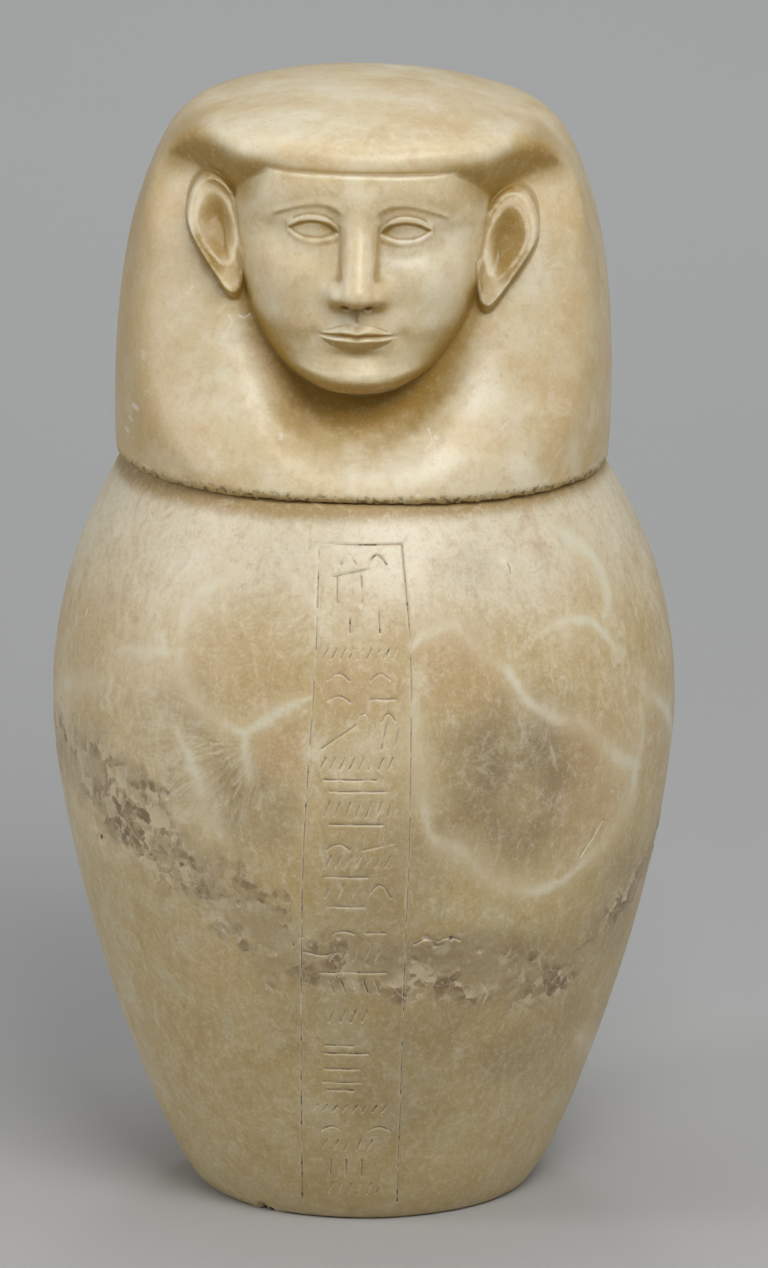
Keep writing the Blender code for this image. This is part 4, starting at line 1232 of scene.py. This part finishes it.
def lid_finish(colours):
    """Cream travertine with painted amber shade in the hollows and where it faces down, bruised white where
    edges are knocked.
    """
    stone = Stone("travertine, lid", colours.tan)
    wander = stone.noise(26.0, 4.0, 0.6)
    cloud = stone.noise(14.0, 3.0, 0.5)
    milky = stone.noise(40.0, 2.0, 0.5)
    # Painted light: a little more cream where the stone faces up.
    stone.lay((cloud + 0.16 + 0.1 * stone.held("up")).rise(0.46, 0.66), colours.cream)
    stone.tint(stone.noise(20.0, 4.0, 0.6).rise(0.5, 0.66) * 0.55, 236, 226, 198)
    stone.mottle(milky, (0.5, 0.7, 0.5, (240, 232, 208)), (0.48, 0.3, 0.42, (206, 172, 114)))
    mottle = stone.noise(95.0, 5.0, 0.72, 0.5)
    stone.mottle(mottle, (0.52, 0.66, 0.34, (242, 234, 212)), (0.48, 0.34, 0.26, (196, 162, 108)))
    streak = stone.noise(1.0, 3.0, 0.6, 0.3, stone.stretched((20.0, 20.0, 110.0), (0.0, 0.12, 0.0)))
    stone.tint(stone.held("up").rise(0.5, 0.95) * streak.rise(0.48, 0.7) * 0.4, 214, 184, 134)

    # Painted shade down the head's sides, stronger on the -X side.
    across = stone.place.axis("X")
    flank = across.rise(-0.055, -0.1) + 0.45 * across.rise(0.06, 0.1)
    stone.tint(flank * (0.3 + 0.5 * wander), 196, 164, 104)
    # Painted shade: deep golden and amber where the stone faces down and in the hollows kept at the points.
    under = under_side(stone, wander)
    stone.lay(under * 0.85, colours.deep)
    hidden = stone.held("hollow") + (wander - 0.5) * 0.1 + under * 0.22
    stone.lay(hidden.rise(0.03, 0.35) * 0.6, colours.deep)
    stone.lay(hidden.rise(0.11, 0.46) * 0.95, colours.amber_shade)
    stone.lay(under.rise(0.25, 0.9) * 0.6, colours.amber_shade)
    coarse, fine = lay_grain(stone, 0.32)
    # Painted shade: amber in the fine creases.
    crease = (stone.held("crease") * 10000.0).rise(0.25, 1.0)
    stone.lay(crease * (0.3 + 0.4 * milky), colours.amber_shade)
    knocked = stone.noise(160.0, 3.0, 0.6).rise(0.36, 0.58)
    ridge = (stone.held("ridge") * 10000.0).rise(0.25, 0.9) * (0.2 + 0.8 * knocked)
    stone.tint(ridge * under.rise(0.5, 0.1) * 0.3, 246, 238, 216)

    cut, pit, crumble = stone.held("cut"), stone.held("pit"), stone.held("crumble")
    caught = stone.noise(340.0, 2.0, 0.6)
    stone.tint(cut.rise(0.1, 0.6) * 0.65, 238, 230, 208)
    stone.lay(cut.rise(0.45, 0.9) * caught.rise(0.6, 0.68), colours.dirt)
    stone.tint(crumble * 0.6, 178, 156, 108)
    stone.lay(crumble * caught.rise(0.5, 0.62) * 0.9, colours.dirt)
    stone.tint(pit.rise(0.1, 0.6) * 0.45, 230, 220, 196)

    roughness = 0.34 + coarse * 0.16 + crumble * 0.3
    relief = coarse * 0.5 + fine * 0.35 + crumble * caught * 3.0 + caught * cut * 0.5
    set_glow(stone, *LID_GLOW)
    return stone.finish(roughness, relief, LID_BUMP)


def plain_finish(name, colour, roughness):
    """A plain material for the stage."""
    stage = Stone(name, colour)
    tone = stage.noise(2.0)
    stage.lay(tone, [0.97 * part for part in colour])
    return stage.finish(tone * 0.02 + roughness, tone, 0.00001)


# ---- operators -------------------------------------------------------------------------

def finished(piece, node):
    """Hang a piece under the root body and hide the frame's part that it stands in for."""
    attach(piece, "root")
    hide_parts(node)


class CANOPIC_OT_jar(bpy.types.Operator):
    """Turn the jar, engrave its column and break open its crystal band"""
    bl_idname = "canopic.jar"
    bl_label = "Stone jar"

    def execute(self, context):
        settings = context.scene.canopic_jar
        lines = engraved_lines()
        lines += [smooth_line(on_jar(*in_units((1, MM), crack).T), STROKE_POINT_GAP) for crack in JAR_CRACKS]
        degrees, heights, sizes = JAR_CHIPS.T
        chips = on_jar(degrees, heights)
        piece = linked("stone_jar", jar_mesh(settings.spacing, lines, chips))
        carve_wear(piece, jar_finish(context.scene.canopic_stone), line_object("jar lines", lines),
                   point_object("jar chips", chips, sizes), settings,
                   crumble_scale=CRYSTAL_SCALE, chip_depth=JAR_CHIP_DEPTH)
        finished(piece, "jar")
        return {"FINISHED"}


class CANOPIC_OT_lid(bpy.types.Operator):
    """Carve the head lid with its wig, ears and face, and crumble its lower edge"""
    bl_idname = "canopic.lid"
    bl_label = "Head lid"

    def execute(self, context):
        piece = linked("stone_head_lid", lid_mesh())
        scratches = [on_face(smooth_line(in_units(MM, line), STROKE_POINT_GAP)) for line in LID_SCRATCHES]
        carve_wear(piece, lid_finish(context.scene.canopic_stone), line_object("lid lines", scratches),
                   point_object("lid chips", on_face(LID_CHIPS[:, :2]), LID_CHIPS[:, 2]),
                   context.scene.canopic_lid, crumble_scale=CRUMBLE_SCALE, chip_depth=LID_CHIP_DEPTH)
        piece.data.transform(lid_place())
        finished(piece, "head_lid")
        return {"FINISHED"}


def light(kind, name, place, target, **settings):
    """A lamp turned to a target, with Blender's own settings for its kind."""
    lamp = bpy.data.lights.new(name, kind)
    for key, value in settings.items():
        setattr(lamp, key, value)
    item = linked(name, lamp)
    item.location = place
    item.rotation_euler = (Vector(target) - Vector(place)).to_track_quat("-Z", "Y").to_euler()


def floor_mesh(half_width):
    """A wide level floor, which also fills the picture behind the jar."""
    corners = [(x * half_width, y * half_width, 0) for x, y in ((-1, -1), (1, -1), (1, 1), (-1, 1))]
    mesh = bpy.data.meshes.new("floor")
    mesh.from_pydata(corners, [], [(0, 1, 2, 3)])
    return mesh


class CANOPIC_OT_stage(bpy.types.Operator):
    """Set the plain floor, the soft studio lights and the camera"""
    bl_idname = "canopic.stage"
    bl_label = "Stage"

    def execute(self, context):
        floor = linked("floor", floor_mesh(FLOOR_HALF))
        floor.data.materials.append(plain_finish("plain grey", paint(*FLOOR_GREY), FLOOR_ROUGHNESS))
        for name, (place, width, height, power, tone) in SOFT_BOXES.items():
            light("AREA", name, place, (0, 0, JAR_HIGH.z), shape="RECTANGLE", size=width, size_y=height,
                  energy=power, color=tone)
        light("SPOT", "floor wash", WASH_PLACE, WASH_TARGET, spot_size=WASH_ANGLE, spot_blend=1.0,
              shadow_soft_size=WASH_SOFTNESS, energy=WASH_POWER, color=WASH_COLOUR)
        world = bpy.data.worlds.new("studio")
        world.use_nodes = True
        sky = world.node_tree.nodes["Background"]
        sky.inputs["Color"].default_value = SKY_COLOUR
        sky.inputs["Strength"].default_value = SKY_STRENGTH
        context.scene.world = world

        lens = bpy.data.cameras.new("camera")
        lens.lens, lens.sensor_width, lens.clip_end = VIEW_LENS, SENSOR, 2 * FLOOR_HALF + 2.0
        camera = linked("camera", lens)
        up = Vector((0, math.sin(VIEW_PITCH), math.cos(VIEW_PITCH)))
        back = Vector((0, -math.cos(VIEW_PITCH), math.sin(VIEW_PITCH)))
        camera.location = Vector((VIEW_SIDE, 0, VIEW_HEIGHT)) + VIEW_DISTANCE * back + VIEW_RISE * up
        camera.rotation_euler = (math.pi / 2 - VIEW_PITCH, 0, 0)
        context.scene.camera = camera
        context.scene.view_settings.view_transform = "Standard"
        return {"FINISHED"}


class CANOPIC_PT_panel(bpy.types.Panel):
    """Sizes, colours and steps of the canopic jar"""
    bl_idname = "CANOPIC_PT_panel"
    bl_label = "Canopic jar"
    bl_space_type = "VIEW_3D"
    bl_region_type = "UI"
    bl_category = "Canopic jar"

    def draw(self, context):
        for group in (context.scene.canopic_jar, context.scene.canopic_lid, context.scene.canopic_stone):
            for name in group.__annotations__:
                self.layout.prop(group, name)
        for step_class in STEPS:
            self.layout.operator(step_class.bl_idname)


GROUPS = {"canopic_jar": JarSettings, "canopic_lid": LidSettings, "canopic_stone": StoneColours}
STEPS = (CANOPIC_OT_jar, CANOPIC_OT_lid, CANOPIC_OT_stage)


def register():
    for name, group in GROUPS.items():
        bpy.utils.register_class(group)
        setattr(bpy.types.Scene, name, PointerProperty(type=group))
    for item in (*STEPS, CANOPIC_PT_panel):
        bpy.utils.register_class(item)


def unregister():
    for item in (CANOPIC_PT_panel, *reversed(STEPS)):
        bpy.utils.unregister_class(item)
    for name, group in reversed(GROUPS.items()):
        delattr(bpy.types.Scene, name)
        bpy.utils.unregister_class(group)


def main():
    register()
    bpy.ops.canopic.jar()
    bpy.ops.canopic.lid()
    bpy.ops.canopic.stage()


if __name__ == "__main__":
    main()
